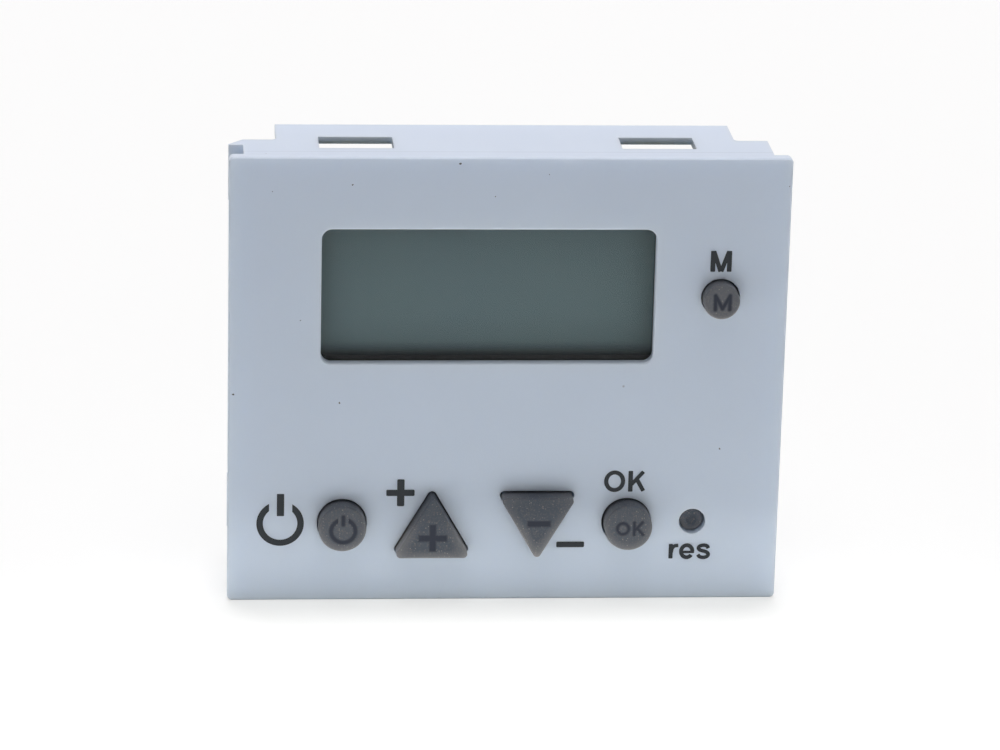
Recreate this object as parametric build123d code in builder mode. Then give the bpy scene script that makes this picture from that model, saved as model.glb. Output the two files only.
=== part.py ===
from build123d import *
import math
import os

# Timer switch: the plug-on control module of a flush-mounted time switch.
# Frame: millimetres, +Z up, +X right, the face looks along -Y at the user.
# Origin: centre of the rear cover's back face, which seats on the flush insert.
# "Depth" is counted from the front face towards the wall.

# Face plate
PLATE_WIDTH = 54.0
PLATE_HEIGHT = 45.0
PLATE_THICKNESS = 2.0
RIM_THICKNESS = 1.1
PLATE_CORNER_RADIUS = 0.5
FACE_EDGE_CHAMFER = 0.15

# Skirt that enters the surround frame
RIM_OVERLAP_SIDE = 1.45
RIM_OVERLAP_TOP = 0.5
SKIRT_WALL = 0.8
SIDE_WALL_DEPTH = 8.15
TAB_DEPTH = 14.1
TAB_STEP = 3.25
TAB_CORNER_RADIUS = 0.6
SKIRT_EDGE_CHAMFER = 0.25

# Claw slots through the upper and lower walls of the skirt
SLOT_LENGTH = 7.2
SLOT_OPENING = 4.15
SLOT_DEPTH_FROM_FACE = 5.1
SLOT_SPACING = 29.3
SLOT_BEVEL = 0.35

# Snap lugs on the side walls
LUG_PROTRUSION = 1.4
LUG_LENGTH = 5.5
LUG_FRONT_DEPTH = 6.2
LUG_TIP_LAND = 0.25
UPPER_LUG_TOP_GAP = 0.0
LOWER_LEFT_LUG_Z = -14.25

# Display window, placed by its margins to the plate's edges
WINDOW_LEFT_MARGIN = 8.9
WINDOW_RIGHT_MARGIN = 12.9
WINDOW_TOP_MARGIN = 7.175
WINDOW_HEIGHT = 13.45
WINDOW_CORNER_RADIUS = 1.0
WINDOW_RECESS = 1.0
WINDOW_EDGE_CHAMFER = 0.12
LENS_LAP = 1.0
LENS_CLEARANCE = 0.1
GASKET_THICKNESS = 1.4
GASKET_SET_BACK = 0.2
GASKET_WIDTH = 1.7

# Liquid crystal display
POLARISER_THICKNESS = 0.2
GLASS_THICKNESS = 0.7
GLASS_SIDE_MARGIN = 1.6
REAR_GLASS_MARGIN = 0.78
CONTACT_LEDGE = 2.0
REFLECTOR_MARGIN = 0.4
BEZEL_LIP = 0.4
BEZEL_WALL = 0.8
BEZEL_LIP_SET_BACK = 0.4
BEZEL_CLEARANCE = 0.1
BEZEL_LEG_LENGTH = 1.6
ZEBRA_THICKNESS = 1.6
SUPPORT_RIB_WIDTH = 0.8
SUPPORT_RIB_COUNT = 6

# Circuit board
BOARD_DEPTH = 8.0
BOARD_THICKNESS = 1.0
BOARD_SIDE_GAP = 0.45
BOARD_TOP_GAP = 1.2

# Keys: where each one sits on the face, and the opening it stands in
KEY_ROW_MARGIN = 8.05
ROUND_HOLE_RADIUS = 2.45
MENU_HOLE_RADIUS = 1.88
RESET_HOLE_RADIUS = 1.3
TRIANGLE_CORNERS = 3
TRIANGLE_SIDE = 7.94
TRIANGLE_CORNER_RADIUS = 0.45
POWER_X = -15.85
PLUS_X = -7.08
MINUS_X = 3.21
OK_X = 12.05
OK_KEY_SHIFT = 0.08
RESET_X = 18.55
MENU_RIGHT_MARGIN = 6.53
MENU_TOP_MARGIN = 13.95

# Key section, from the finger face to the contact pill
KEY_PROUD = 1.8
MENU_PROUD = 1.45
RESET_RECESS = 0.7
KEY_GAP = 0.2
KEY_TRAVEL = 0.8
KEY_EDGE_CHAMFER = 0.2
RESET_EDGE_CHAMFER = 0.15
FLANGE_GROWTH = 0.35
FLANGE_THICKNESS = 0.7
COLLAR_WALL = 0.7
COLLAR_TO_FLANGE = 0.1
MAT_THICKNESS = 1.1
WEB_HEIGHT = 1.0
WEB_SPREAD = 0.8
WEB_THICKNESS = 0.4
WEB_TO_STEM = 0.2
WEB_FOOT_LAP = 0.1
PILL_THICKNESS = 0.15
PILL_MARGIN = 0.7
PILL_TO_BOARD = 0.05
RESET_DIMPLE_RADIUS = 0.5
RESET_DIMPLE_DEPTH = 0.3
MAT_MARGIN = 0.6
MAT_ARM_MARGIN = 0.4
MAT_TO_BOSS = 0.2
MAT_PEG_RADIUS = 0.8
PEG_PROUD = 0.3
PEG_PLAY = 0.05

# Rear cover, its screws and their bosses
COVER_SIDE_GAP = 0.25
COVER_TOP_GAP = 2.8
COVER_DEPTH = 8.0
COVER_WALL = 1.2
COVER_CORNER_RADIUS = 1.5
COVER_EDGE_CHAMFER = 0.5
SCREW_SIDE_INSET = 1.9
SCREW_Z = -2.0
BOSS_RADIUS = 1.6
PILLAR_RADIUS = 2.0
SCREW_RADIUS = 0.8
SCREW_PLAY = 0.05
BOARD_SCREW_PLAY = 0.3
SCREW_LENGTH = 11.4
SCREW_TIP_SPACE = 0.6
SCREW_HEAD_RADIUS = 1.3
SCREW_HEAD_HEIGHT = 1.0
SCREW_HEAD_SUNK = 0.1

# Plug that carries the module's connections into the flush insert
PIN_PITCH = 2.54
PIN_COLUMNS = 5
PIN_ROWS = 2
PIN_SIZE = 0.64
PIN_TAIL = 0.6
PIN_REACH = 5.3
PLUG_Z = -5.5
PLUG_BLOCK_MARGIN = 0.3
PLUG_BLOCK_HEIGHT = 2.5
SHROUD_GAP = 1.3
SHROUD_WALL = 1.0
SHROUD_REACH = 3.0
SHROUD_EDGE_CHAMFER = 0.3

# Parts on the back of the board
CHIP_SIZE = 7.0
CHIP_HEIGHT = 1.4
CHIP_X = -12.5
CHIP_Z = 7.0
CHIP_LEG_WIDTH = 0.3
CHIP_LEG_PITCH = 0.8
CHIP_LEG_REACH = 1.0
CHIP_LEG_THICKNESS = 0.2
CHIP_LEGS_PER_SIDE = 8
CRYSTAL_RADIUS = 1.0
CRYSTAL_LENGTH = 6.0
CRYSTAL_X = -3.2
CRYSTAL_Z = 7.0
CRYSTAL_LEAD_WIDTH = 0.3
CRYSTAL_LEAD_LENGTH = 1.4
CRYSTAL_LEAD_SPACING = 0.7
CELL_RADIUS = 6.25
CELL_THICKNESS = 2.5
CELL_X = 11.0
CELL_Z = 8.5
CELL_LIFT = 0.4
CELL_EDGE_CHAMFER = 0.2
CLIP_WIDTH = 4.6
CLIP_THICKNESS = 0.4
CLIP_FOOT = 1.6
CAPACITOR_RADIUS = 2.5
CAPACITOR_HEIGHT = 5.2
CAPACITOR_X = 14.5
CAPACITOR_Z = -9.0
CAPACITOR_BASE = 5.3
CAPACITOR_BASE_HEIGHT = 0.8
CHIP_RESISTOR_LENGTH = 1.6
CHIP_RESISTOR_WIDTH = 0.8
CHIP_RESISTOR_HEIGHT = 0.5
CHIP_RESISTOR_PITCH_X = 2.4
CHIP_RESISTOR_PITCH_Z = 2.6
CHIP_RESISTOR_COLUMNS = 4
CHIP_RESISTOR_ROWS = 2
CHIP_RESISTOR_LEFT_X = -12.5
CHIP_RESISTOR_RIGHT_X = 6.0
CHIP_RESISTOR_INSET = 5.45

# Derived sizes
FRONT = BOARD_DEPTH + BOARD_THICKNESS + COVER_DEPTH
SKIRT_WIDTH = PLATE_WIDTH - 2 * RIM_OVERLAP_SIDE
SKIRT_HEIGHT = PLATE_HEIGHT - 2 * RIM_OVERLAP_TOP
TAB_WIDTH = SKIRT_WIDTH - 2 * TAB_STEP
BOARD_REAR = BOARD_DEPTH + BOARD_THICKNESS
BOARD_WIDTH = SKIRT_WIDTH - 2 * SKIRT_WALL - 2 * BOARD_SIDE_GAP
BOARD_HEIGHT = SKIRT_HEIGHT - 2 * SKIRT_WALL - 2 * BOARD_TOP_GAP
COVER_WIDTH = SKIRT_WIDTH - 2 * SKIRT_WALL - 2 * COVER_SIDE_GAP
COVER_HEIGHT = SKIRT_HEIGHT - 2 * SKIRT_WALL - 2 * COVER_TOP_GAP
SCREW_X = BOARD_WIDTH / 2 - SCREW_SIDE_INSET
SCREW_PLACES = ((-SCREW_X, SCREW_Z), (SCREW_X, SCREW_Z))

WINDOW_WIDTH = PLATE_WIDTH - WINDOW_LEFT_MARGIN - WINDOW_RIGHT_MARGIN
WINDOW_X = (WINDOW_LEFT_MARGIN - WINDOW_RIGHT_MARGIN) / 2
WINDOW_Z = PLATE_HEIGHT / 2 - WINDOW_TOP_MARGIN - WINDOW_HEIGHT / 2
KEY_ROW_Z = KEY_ROW_MARGIN - PLATE_HEIGHT / 2
MENU_X = PLATE_WIDTH / 2 - MENU_RIGHT_MARGIN
MENU_Z = PLATE_HEIGHT / 2 - MENU_TOP_MARGIN
CHIP_RESISTOR_Z = CHIP_RESISTOR_INSET - COVER_HEIGHT / 2

LENS_WIDTH = WINDOW_WIDTH + 2 * LENS_LAP
LENS_HEIGHT = WINDOW_HEIGHT + 2 * LENS_LAP
GASKET_END = PLATE_THICKNESS + GASKET_THICKNESS
LIP_END = GASKET_END + BEZEL_LIP
FRONT_GLASS_END = LIP_END + GLASS_THICKNESS
REAR_GLASS_END = FRONT_GLASS_END + GLASS_THICKNESS
REFLECTOR_END = REAR_GLASS_END + POLARISER_THICKNESS
GLASS_WIDTH = WINDOW_WIDTH + 2 * GLASS_SIDE_MARGIN
REAR_GLASS_HEIGHT = WINDOW_HEIGHT + 2 * REAR_GLASS_MARGIN
FRONT_GLASS_HEIGHT = REAR_GLASS_HEIGHT + 2 * CONTACT_LEDGE
BEZEL_OPENING_WIDTH = WINDOW_WIDTH + 2 * BEZEL_LIP_SET_BACK
BEZEL_OPENING_HEIGHT = WINDOW_HEIGHT + 2 * BEZEL_LIP_SET_BACK
BEZEL_WIDTH = GLASS_WIDTH + 2 * BEZEL_CLEARANCE + 2 * BEZEL_WALL
BEZEL_HEIGHT = FRONT_GLASS_HEIGHT + 2 * BEZEL_CLEARANCE + 2 * BEZEL_WALL
ZEBRA_Z = (REAR_GLASS_HEIGHT + CONTACT_LEDGE) / 2

MAT_FRONT = BOARD_DEPTH - MAT_THICKNESS
FLANGE_REAR = MAT_FRONT - WEB_HEIGHT
FLANGE_FRONT = FLANGE_REAR - FLANGE_THICKNESS
COLLAR_END = FLANGE_FRONT - COLLAR_TO_FLANGE
STEM_END = BOARD_DEPTH - KEY_TRAVEL - PILL_TO_BOARD - PILL_THICKNESS
STEM_GROWTH = FLANGE_GROWTH - WEB_THICKNESS - WEB_TO_STEM
WEB_FOOT_GROWTH = FLANGE_GROWTH + WEB_SPREAD
WELL_GROWTH = WEB_FOOT_GROWTH - WEB_THICKNESS - WEB_FOOT_LAP
PAD_GROWTH = WEB_FOOT_GROWTH + MAT_MARGIN
WEB_TAPER = math.degrees(math.atan(WEB_SPREAD / WEB_HEIGHT))

TRIANGLE_HEIGHT = TRIANGLE_SIDE * math.sqrt(3) / 2
TRIANGLE_SHIFT = (TRIANGLE_HEIGHT / 3 - TRIANGLE_CORNER_RADIUS) / 2
PLUS_Z = KEY_ROW_Z - TRIANGLE_SHIFT
MINUS_Z = KEY_ROW_Z + TRIANGLE_SHIFT

# name: outline, hole radius or side, x and z of the hole, sideways shift, proud
KEYS = {
    "power": ("round", ROUND_HOLE_RADIUS, POWER_X, KEY_ROW_Z, 0, KEY_PROUD),
    "plus": ("up", TRIANGLE_SIDE, PLUS_X, PLUS_Z, 0, KEY_PROUD),
    "minus": ("down", TRIANGLE_SIDE, MINUS_X, MINUS_Z, 0, KEY_PROUD),
    "ok": ("round", ROUND_HOLE_RADIUS, OK_X, KEY_ROW_Z, OK_KEY_SHIFT, KEY_PROUD),
    "menu": ("round", MENU_HOLE_RADIUS, MENU_X, MENU_Z, 0, MENU_PROUD),
    "reset": ("round", RESET_HOLE_RADIUS, RESET_X, KEY_ROW_Z, 0, -RESET_RECESS),
}

os.makedirs("parts", exist_ok=True)


def at_depth(depth):
    """Plane parallel to the face, this far behind it; its x is X and its y is Z."""
    return Plane.XZ.offset(FRONT - depth)


def y_at(depth):
    """Y of a point this far behind the face."""
    return depth - FRONT


def key_outline(key, growth, shifted=False, flat_corners=False):
    """Outline of a key's hole, grown evenly; shifted follows the key, not the hole.

    A triangle's corners are round where they show and cut flat behind the plate.
    """
    outline, size, x, z, shift, proud = KEYS[key]
    if shifted:
        x = x + shift
    with Locations((x, z)):
        if outline == "round":
            Circle(size + growth)
        else:
            turn = 90 if outline == "up" else -90
            side = size + 2 * math.sqrt(3) * growth
            corner = TRIANGLE_CORNER_RADIUS + growth
            with BuildSketch(mode=Mode.PRIVATE) as triangle:
                RegularPolygon(side / math.sqrt(3), TRIANGLE_CORNERS, rotation=turn)
                if flat_corners:
                    chamfer(triangle.vertices(), corner / math.cos(math.pi / 6))
                else:
                    fillet(triangle.vertices(), corner)
            add(triangle.sketch)


def finish(part, name):
    """Label a finished piece and write it."""
    part.label = name
    export_step(part, "parts/" + name + ".step")


# Front cover: one moulding, plate in front, stepped and slotted skirt behind
with BuildPart() as front_cover:
    with BuildSketch(at_depth(0)):
        RectangleRounded(PLATE_WIDTH, PLATE_HEIGHT, PLATE_CORNER_RADIUS)
    extrude(amount=-RIM_THICKNESS)
    face_edges = front_cover.faces().sort_by(Axis.Y)[0].edges()
    chamfer(face_edges, FACE_EDGE_CHAMFER)
    with BuildSketch(at_depth(RIM_THICKNESS)):
        Rectangle(SKIRT_WIDTH, SKIRT_HEIGHT)
    extrude(amount=-(PLATE_THICKNESS - RIM_THICKNESS))

    # Upper wall in plan: full width, then the narrower tab, with its claw slots
    with BuildSketch(Plane.XY.offset(SKIRT_HEIGHT / 2 - SKIRT_WALL)) as wall_plan:
        with Locations((0, y_at((RIM_THICKNESS + SIDE_WALL_DEPTH) / 2))):
            Rectangle(SKIRT_WIDTH, SIDE_WALL_DEPTH - RIM_THICKNESS)
        with Locations((0, y_at((RIM_THICKNESS + TAB_DEPTH) / 2))):
            Rectangle(TAB_WIDTH, TAB_DEPTH - RIM_THICKNESS)
        inner_corners = [
            v for v in wall_plan.vertices()
            if abs(abs(v.X) - TAB_WIDTH / 2) < 1e-6
            and abs(v.Y - y_at(SIDE_WALL_DEPTH)) < 1e-6
        ]
        fillet(inner_corners, TAB_CORNER_RADIUS)
        with Locations((0, y_at(SLOT_DEPTH_FROM_FACE + SLOT_OPENING / 2))):
            with GridLocations(SLOT_SPACING, 0, 2, 1):
                Rectangle(SLOT_LENGTH, SLOT_OPENING, mode=Mode.SUBTRACT)
    upper_wall = extrude(amount=SKIRT_WALL)
    mirror(upper_wall, about=Plane.XY)
    slot_backs = [
        edge for edge in front_cover.edges().filter_by(Axis.X)
        if abs(edge.center().Y - y_at(SLOT_DEPTH_FROM_FACE + SLOT_OPENING)) < 1e-6
        and abs(edge.center().Z) < SKIRT_HEIGHT / 2 - SKIRT_WALL / 2
    ]
    chamfer(slot_backs, SLOT_BEVEL)

    # Side walls, shallower than the tabs
    with BuildSketch(at_depth(RIM_THICKNESS)):
        with GridLocations(SKIRT_WIDTH - SKIRT_WALL, 0, 2, 1):
            Rectangle(SKIRT_WALL, SKIRT_HEIGHT)
    extrude(amount=-(SIDE_WALL_DEPTH - RIM_THICKNESS))

    # Snap lugs: a square front face that hooks the frame, a ramp behind it.
    # The two on the right are those on the left, turned half round.
    upper_left_lug_z = SKIRT_HEIGHT / 2 - UPPER_LUG_TOP_GAP - LUG_LENGTH / 2
    for lug_z in (-upper_left_lug_z, -LOWER_LEFT_LUG_Z):
        with BuildSketch(Plane.XY.offset(lug_z - LUG_LENGTH / 2)):
            with BuildLine():
                wall_x = SKIRT_WIDTH / 2 - SKIRT_WALL / 2
                tip_x = SKIRT_WIDTH / 2 + LUG_PROTRUSION
                Polyline(
                    (wall_x, y_at(LUG_FRONT_DEPTH)),
                    (tip_x, y_at(LUG_FRONT_DEPTH)),
                    (tip_x, y_at(LUG_FRONT_DEPTH + LUG_TIP_LAND)),
                    (SKIRT_WIDTH / 2, y_at(SIDE_WALL_DEPTH)),
                    (wall_x, y_at(SIDE_WALL_DEPTH)),
                    close=True,
                )
            make_face()
        right_lug = extrude(amount=LUG_LENGTH)
        add(right_lug.rotate(Axis.Y, 180))

    # Bosses for the cover screws, each tied to the side wall by a rib
    rib_length = SKIRT_WIDTH / 2 - SKIRT_WALL / 2 - SCREW_X
    with BuildSketch(at_depth(PLATE_THICKNESS)):
        with Locations(*SCREW_PLACES):
            Circle(BOSS_RADIUS)
        for screw_x, screw_z in SCREW_PLACES:
            with Locations((screw_x + math.copysign(rib_length / 2, screw_x), screw_z)):
                Rectangle(rib_length, SKIRT_WALL)
    extrude(amount=-(BOARD_DEPTH - PLATE_THICKNESS))
    with BuildSketch(at_depth(BOARD_DEPTH)):
        with Locations(*SCREW_PLACES):
            Circle(SCREW_RADIUS + SCREW_PLAY)
    pilot_depth = SCREW_LENGTH + SCREW_HEAD_HEIGHT + SCREW_HEAD_SUNK + SCREW_TIP_SPACE
    extrude(amount=pilot_depth - (FRONT - BOARD_DEPTH), mode=Mode.SUBTRACT)

    # Guide collars round the key holes, then the holes through plate and collar
    with BuildSketch(at_depth(PLATE_THICKNESS)):
        for key in KEYS:
            key_outline(key, COLLAR_WALL, flat_corners=True)
    extrude(amount=-(COLLAR_END - PLATE_THICKNESS))
    for key in KEYS:
        with BuildSketch(at_depth(0)):
            key_outline(key, 0)
        extrude(amount=-COLLAR_END, mode=Mode.SUBTRACT)

    # Display opening, with a rebate behind its lip for the window
    with BuildSketch(at_depth(0)):
        with Locations((WINDOW_X, WINDOW_Z)):
            RectangleRounded(WINDOW_WIDTH, WINDOW_HEIGHT, WINDOW_CORNER_RADIUS)
    extrude(amount=-PLATE_THICKNESS, mode=Mode.SUBTRACT)
    with BuildSketch(at_depth(WINDOW_RECESS)):
        with Locations((WINDOW_X, WINDOW_Z)):
            RectangleRounded(LENS_WIDTH, LENS_HEIGHT, WINDOW_CORNER_RADIUS)
    extrude(amount=-(PLATE_THICKNESS - WINDOW_RECESS), mode=Mode.SUBTRACT)
    window_rim = front_cover.faces().sort_by(Axis.Y)[0].inner_wires().sort_by(
        lambda wire: wire.length
    )[-1]
    chamfer(window_rim.edges(), WINDOW_EDGE_CHAMFER)

    # Lead-in round the back edge of the two tabs
    tab_back = front_cover.faces().filter_by(Axis.Y).sort_by(Axis.Y)[-2:]
    chamfer(tab_back.edges().filter_by(Axis.X), SKIRT_EDGE_CHAMFER)
finish(front_cover.part, "front_cover")

# Display window: a clear plate bonded into the rebate
with BuildPart() as display_window:
    with BuildSketch(at_depth(WINDOW_RECESS)):
        with Locations((WINDOW_X, WINDOW_Z)):
            RectangleRounded(
                LENS_WIDTH - 2 * LENS_CLEARANCE,
                LENS_HEIGHT - 2 * LENS_CLEARANCE,
                WINDOW_CORNER_RADIUS - LENS_CLEARANCE,
            )
    extrude(amount=-(PLATE_THICKNESS - WINDOW_RECESS))
finish(display_window.part, "display_window")

# Gasket: a black foam frame between the window and the display bezel
with BuildPart() as display_gasket:
    with BuildSketch(at_depth(PLATE_THICKNESS)):
        with Locations((WINDOW_X, WINDOW_Z)):
            gasket_width = WINDOW_WIDTH + 2 * GASKET_SET_BACK
            gasket_height = WINDOW_HEIGHT + 2 * GASKET_SET_BACK
            Rectangle(gasket_width + 2 * GASKET_WIDTH, gasket_height + 2 * GASKET_WIDTH)
            Rectangle(gasket_width, gasket_height, mode=Mode.SUBTRACT)
    extrude(amount=-GASKET_THICKNESS)
finish(display_gasket.part, "display_gasket")

# Display bezel: lip in front of the glass, walls down to the board, and two legs
# that stand in slots of the board
with BuildPart() as lcd_bezel:
    with BuildSketch(at_depth(GASKET_END)):
        with Locations((WINDOW_X, WINDOW_Z)):
            Rectangle(BEZEL_WIDTH, BEZEL_HEIGHT)
            Rectangle(BEZEL_OPENING_WIDTH, BEZEL_OPENING_HEIGHT, mode=Mode.SUBTRACT)
    extrude(amount=-(BOARD_DEPTH - GASKET_END))
    with BuildSketch(at_depth(LIP_END)):
        with Locations((WINDOW_X, WINDOW_Z)):
            Rectangle(BEZEL_WIDTH - 2 * BEZEL_WALL, BEZEL_HEIGHT - 2 * BEZEL_WALL)
    extrude(amount=-(BOARD_DEPTH - LIP_END), mode=Mode.SUBTRACT)
    leg_spacing = BEZEL_WIDTH - BEZEL_WALL
    with BuildSketch(at_depth(BOARD_DEPTH)):
        with Locations((WINDOW_X, WINDOW_Z)):
            with GridLocations(leg_spacing, 0, 2, 1):
                Rectangle(BEZEL_WALL, BEZEL_LEG_LENGTH)
    extrude(amount=-(BOARD_THICKNESS + PEG_PROUD))
finish(lcd_bezel.part, "lcd_bezel")

# Front polariser, seen through the window
with BuildPart() as lcd_front_polariser:
    with BuildSketch(at_depth(LIP_END - POLARISER_THICKNESS)):
        with Locations((WINDOW_X, WINDOW_Z)):
            Rectangle(
                BEZEL_OPENING_WIDTH - 2 * BEZEL_CLEARANCE,
                BEZEL_OPENING_HEIGHT - 2 * BEZEL_CLEARANCE,
            )
    extrude(amount=-POLARISER_THICKNESS)
finish(lcd_front_polariser.part, "lcd_front_polariser")

# Front glass: taller than the rear one, so that its ledges carry the contacts
with BuildPart() as lcd_front_glass:
    with BuildSketch(at_depth(LIP_END)):
        with Locations((WINDOW_X, WINDOW_Z)):
            Rectangle(GLASS_WIDTH, FRONT_GLASS_HEIGHT)
    extrude(amount=-GLASS_THICKNESS)
finish(lcd_front_glass.part, "lcd_front_glass")

# Rear glass
with BuildPart() as lcd_rear_glass:
    with BuildSketch(at_depth(FRONT_GLASS_END)):
        with Locations((WINDOW_X, WINDOW_Z)):
            Rectangle(GLASS_WIDTH, REAR_GLASS_HEIGHT)
    extrude(amount=-GLASS_THICKNESS)
finish(lcd_rear_glass.part, "lcd_rear_glass")

# Reflector: the rear polariser with its grey-green reflecting foil
with BuildPart() as lcd_reflector:
    with BuildSketch(at_depth(REAR_GLASS_END)):
        with Locations((WINDOW_X, WINDOW_Z)):
            Rectangle(
                GLASS_WIDTH - 2 * REFLECTOR_MARGIN,
                REAR_GLASS_HEIGHT - 2 * REFLECTOR_MARGIN,
            )
    extrude(amount=-POLARISER_THICKNESS)
finish(lcd_reflector.part, "lcd_reflector")

# Display support: a ribbed plate that holds the glass off the board
with BuildPart() as lcd_support:
    with BuildSketch(at_depth(REFLECTOR_END)):
        with Locations((WINDOW_X, WINDOW_Z)):
            Rectangle(GLASS_WIDTH, REAR_GLASS_HEIGHT)
    extrude(amount=-SUPPORT_RIB_WIDTH)
    with BuildSketch(at_depth(REFLECTOR_END + SUPPORT_RIB_WIDTH)):
        with Locations((WINDOW_X, WINDOW_Z)):
            with GridLocations(0, REAR_GLASS_HEIGHT - SUPPORT_RIB_WIDTH, 1, 2):
                Rectangle(GLASS_WIDTH, SUPPORT_RIB_WIDTH)
            rib_pitch = (GLASS_WIDTH - SUPPORT_RIB_WIDTH) / (SUPPORT_RIB_COUNT - 1)
            with GridLocations(rib_pitch, 0, SUPPORT_RIB_COUNT, 1):
                Rectangle(SUPPORT_RIB_WIDTH, REAR_GLASS_HEIGHT)
    extrude(amount=-(BOARD_DEPTH - REFLECTOR_END - SUPPORT_RIB_WIDTH))
finish(lcd_support.part, "lcd_support")

# Contact strips: layered rubber from the glass ledges down to the board
for strip_name, side in (("upper_contact_strip", 1), ("lower_contact_strip", -1)):
    with BuildPart() as contact_strip:
        with BuildSketch(at_depth(FRONT_GLASS_END)):
            with Locations((WINDOW_X, WINDOW_Z + side * ZEBRA_Z)):
                Rectangle(GLASS_WIDTH - 2 * REFLECTOR_MARGIN, ZEBRA_THICKNESS)
        extrude(amount=-(BOARD_DEPTH - FRONT_GLASS_END))
    finish(contact_strip.part, strip_name)

# Keypad mat: the rubber sheet on the board, with a well under each key
mat_left = POWER_X - ROUND_HOLE_RADIUS - PAD_GROWTH - 2 * MAT_MARGIN
arm_reach = MENU_HOLE_RADIUS + WEB_FOOT_GROWTH + MAT_ARM_MARGIN
mat_right = MENU_X + arm_reach
mat_arm_left = MENU_X - arm_reach
mat_arm_top = MENU_Z + MENU_HOLE_RADIUS + PAD_GROWTH
mat_bottom = PLUS_Z - TRIANGLE_HEIGHT / 3 - PAD_GROWTH
mat_top = MINUS_Z + TRIANGLE_HEIGHT / 3 + PAD_GROWTH
peg_places = (
    (mat_left + 2 * MAT_PEG_RADIUS, mat_top - 2 * MAT_PEG_RADIUS),
    (MENU_X, MENU_Z - MENU_HOLE_RADIUS - PAD_GROWTH - 2 * MAT_PEG_RADIUS),
)
with BuildPart() as keypad_mat:
    with BuildSketch(at_depth(MAT_FRONT)):
        with Locations(((mat_left + mat_right) / 2, (mat_bottom + mat_top) / 2)):
            Rectangle(mat_right - mat_left, mat_top - mat_bottom)
        with Locations(((mat_arm_left + mat_right) / 2, (mat_bottom + mat_arm_top) / 2)):
            Rectangle(mat_right - mat_arm_left, mat_arm_top - mat_bottom)
        with Locations(*SCREW_PLACES):
            Circle(BOSS_RADIUS + MAT_TO_BOSS, mode=Mode.SUBTRACT)
    extrude(amount=-MAT_THICKNESS)
    for key in KEYS:
        with BuildSketch(at_depth(MAT_FRONT)):
            key_outline(key, WELL_GROWTH, flat_corners=True)
        extrude(amount=-MAT_THICKNESS, mode=Mode.SUBTRACT)
    with BuildSketch(at_depth(BOARD_DEPTH)):
        with Locations(*peg_places):
            Circle(MAT_PEG_RADIUS)
    extrude(amount=-(BOARD_THICKNESS + PEG_PROUD))
finish(keypad_mat.part, "keypad_mat")

# Keys: finger face, stem through the plate, flange, and boss for the pill
for key, (outline, size, key_x, key_z, shift, proud) in KEYS.items():
    with BuildPart() as key_body:
        with BuildSketch(at_depth(-proud)):
            key_outline(key, -KEY_GAP, shifted=True)
        extrude(amount=-(FLANGE_FRONT + proud))
        finger_face = key_body.faces().sort_by(Axis.Y)[0]
        chamfer(finger_face.edges(), RESET_EDGE_CHAMFER if proud < 0 else KEY_EDGE_CHAMFER)
        with BuildSketch(at_depth(FLANGE_FRONT)):
            key_outline(key, FLANGE_GROWTH, shifted=True, flat_corners=True)
        extrude(amount=-FLANGE_THICKNESS)
        with BuildSketch(at_depth(FLANGE_REAR)):
            key_outline(key, STEM_GROWTH, shifted=True, flat_corners=True)
        extrude(amount=-(STEM_END - FLANGE_REAR))
        if proud < 0:
            with BuildSketch(at_depth(-proud)):
                with Locations((key_x + shift, key_z)):
                    Circle(RESET_DIMPLE_RADIUS)
            extrude(amount=-RESET_DIMPLE_DEPTH, mode=Mode.SUBTRACT)
    finish(key_body.part, "key_" + key)

    # Web: the thin skirt of rubber that carries the key and snaps under the finger
    with BuildPart() as key_web:
        with BuildSketch(at_depth(MAT_FRONT)):
            key_outline(key, WEB_FOOT_GROWTH, shifted=True, flat_corners=True)
        extrude(amount=WEB_HEIGHT, taper=WEB_TAPER)
        with BuildSketch(at_depth(MAT_FRONT)):
            key_outline(key, WEB_FOOT_GROWTH - WEB_THICKNESS, shifted=True, flat_corners=True)
        extrude(amount=WEB_HEIGHT, taper=WEB_TAPER, mode=Mode.SUBTRACT)
    finish(key_web.part, "web_" + key)

    # Pill: the conductive puck that bridges the contacts on the board
    pill_radius = (size if outline == "round" else TRIANGLE_HEIGHT / 3) - PILL_MARGIN
    with BuildPart() as contact_pill:
        with BuildSketch(at_depth(STEM_END)):
            with Locations((key_x + shift, key_z)):
                Circle(pill_radius)
        extrude(amount=-PILL_THICKNESS)
    finish(contact_pill.part, "pill_" + key)

# Circuit board: its plated pin holes are filled with solder, so each fits its pin
plug_width = PIN_COLUMNS * PIN_PITCH + 2 * PLUG_BLOCK_MARGIN
plug_height = PIN_ROWS * PIN_PITCH + 2 * PLUG_BLOCK_MARGIN
with BuildPart() as circuit_board:
    with BuildSketch(at_depth(BOARD_DEPTH)):
        Rectangle(BOARD_WIDTH, BOARD_HEIGHT)
        with Locations(*SCREW_PLACES):
            Circle(SCREW_RADIUS + BOARD_SCREW_PLAY, mode=Mode.SUBTRACT)
        with Locations((WINDOW_X, WINDOW_Z)):
            with GridLocations(leg_spacing, 0, 2, 1):
                Rectangle(
                    BEZEL_WALL + 2 * PEG_PLAY,
                    BEZEL_LEG_LENGTH + 2 * PEG_PLAY,
                    mode=Mode.SUBTRACT,
                )
        with Locations(*peg_places):
            Circle(MAT_PEG_RADIUS + PEG_PLAY, mode=Mode.SUBTRACT)
        with Locations((0, PLUG_Z)):
            with GridLocations(PIN_PITCH, PIN_PITCH, PIN_COLUMNS, PIN_ROWS):
                Rectangle(PIN_SIZE, PIN_SIZE, mode=Mode.SUBTRACT)
    extrude(amount=-BOARD_THICKNESS)
finish(circuit_board.part, "circuit_board")

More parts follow.
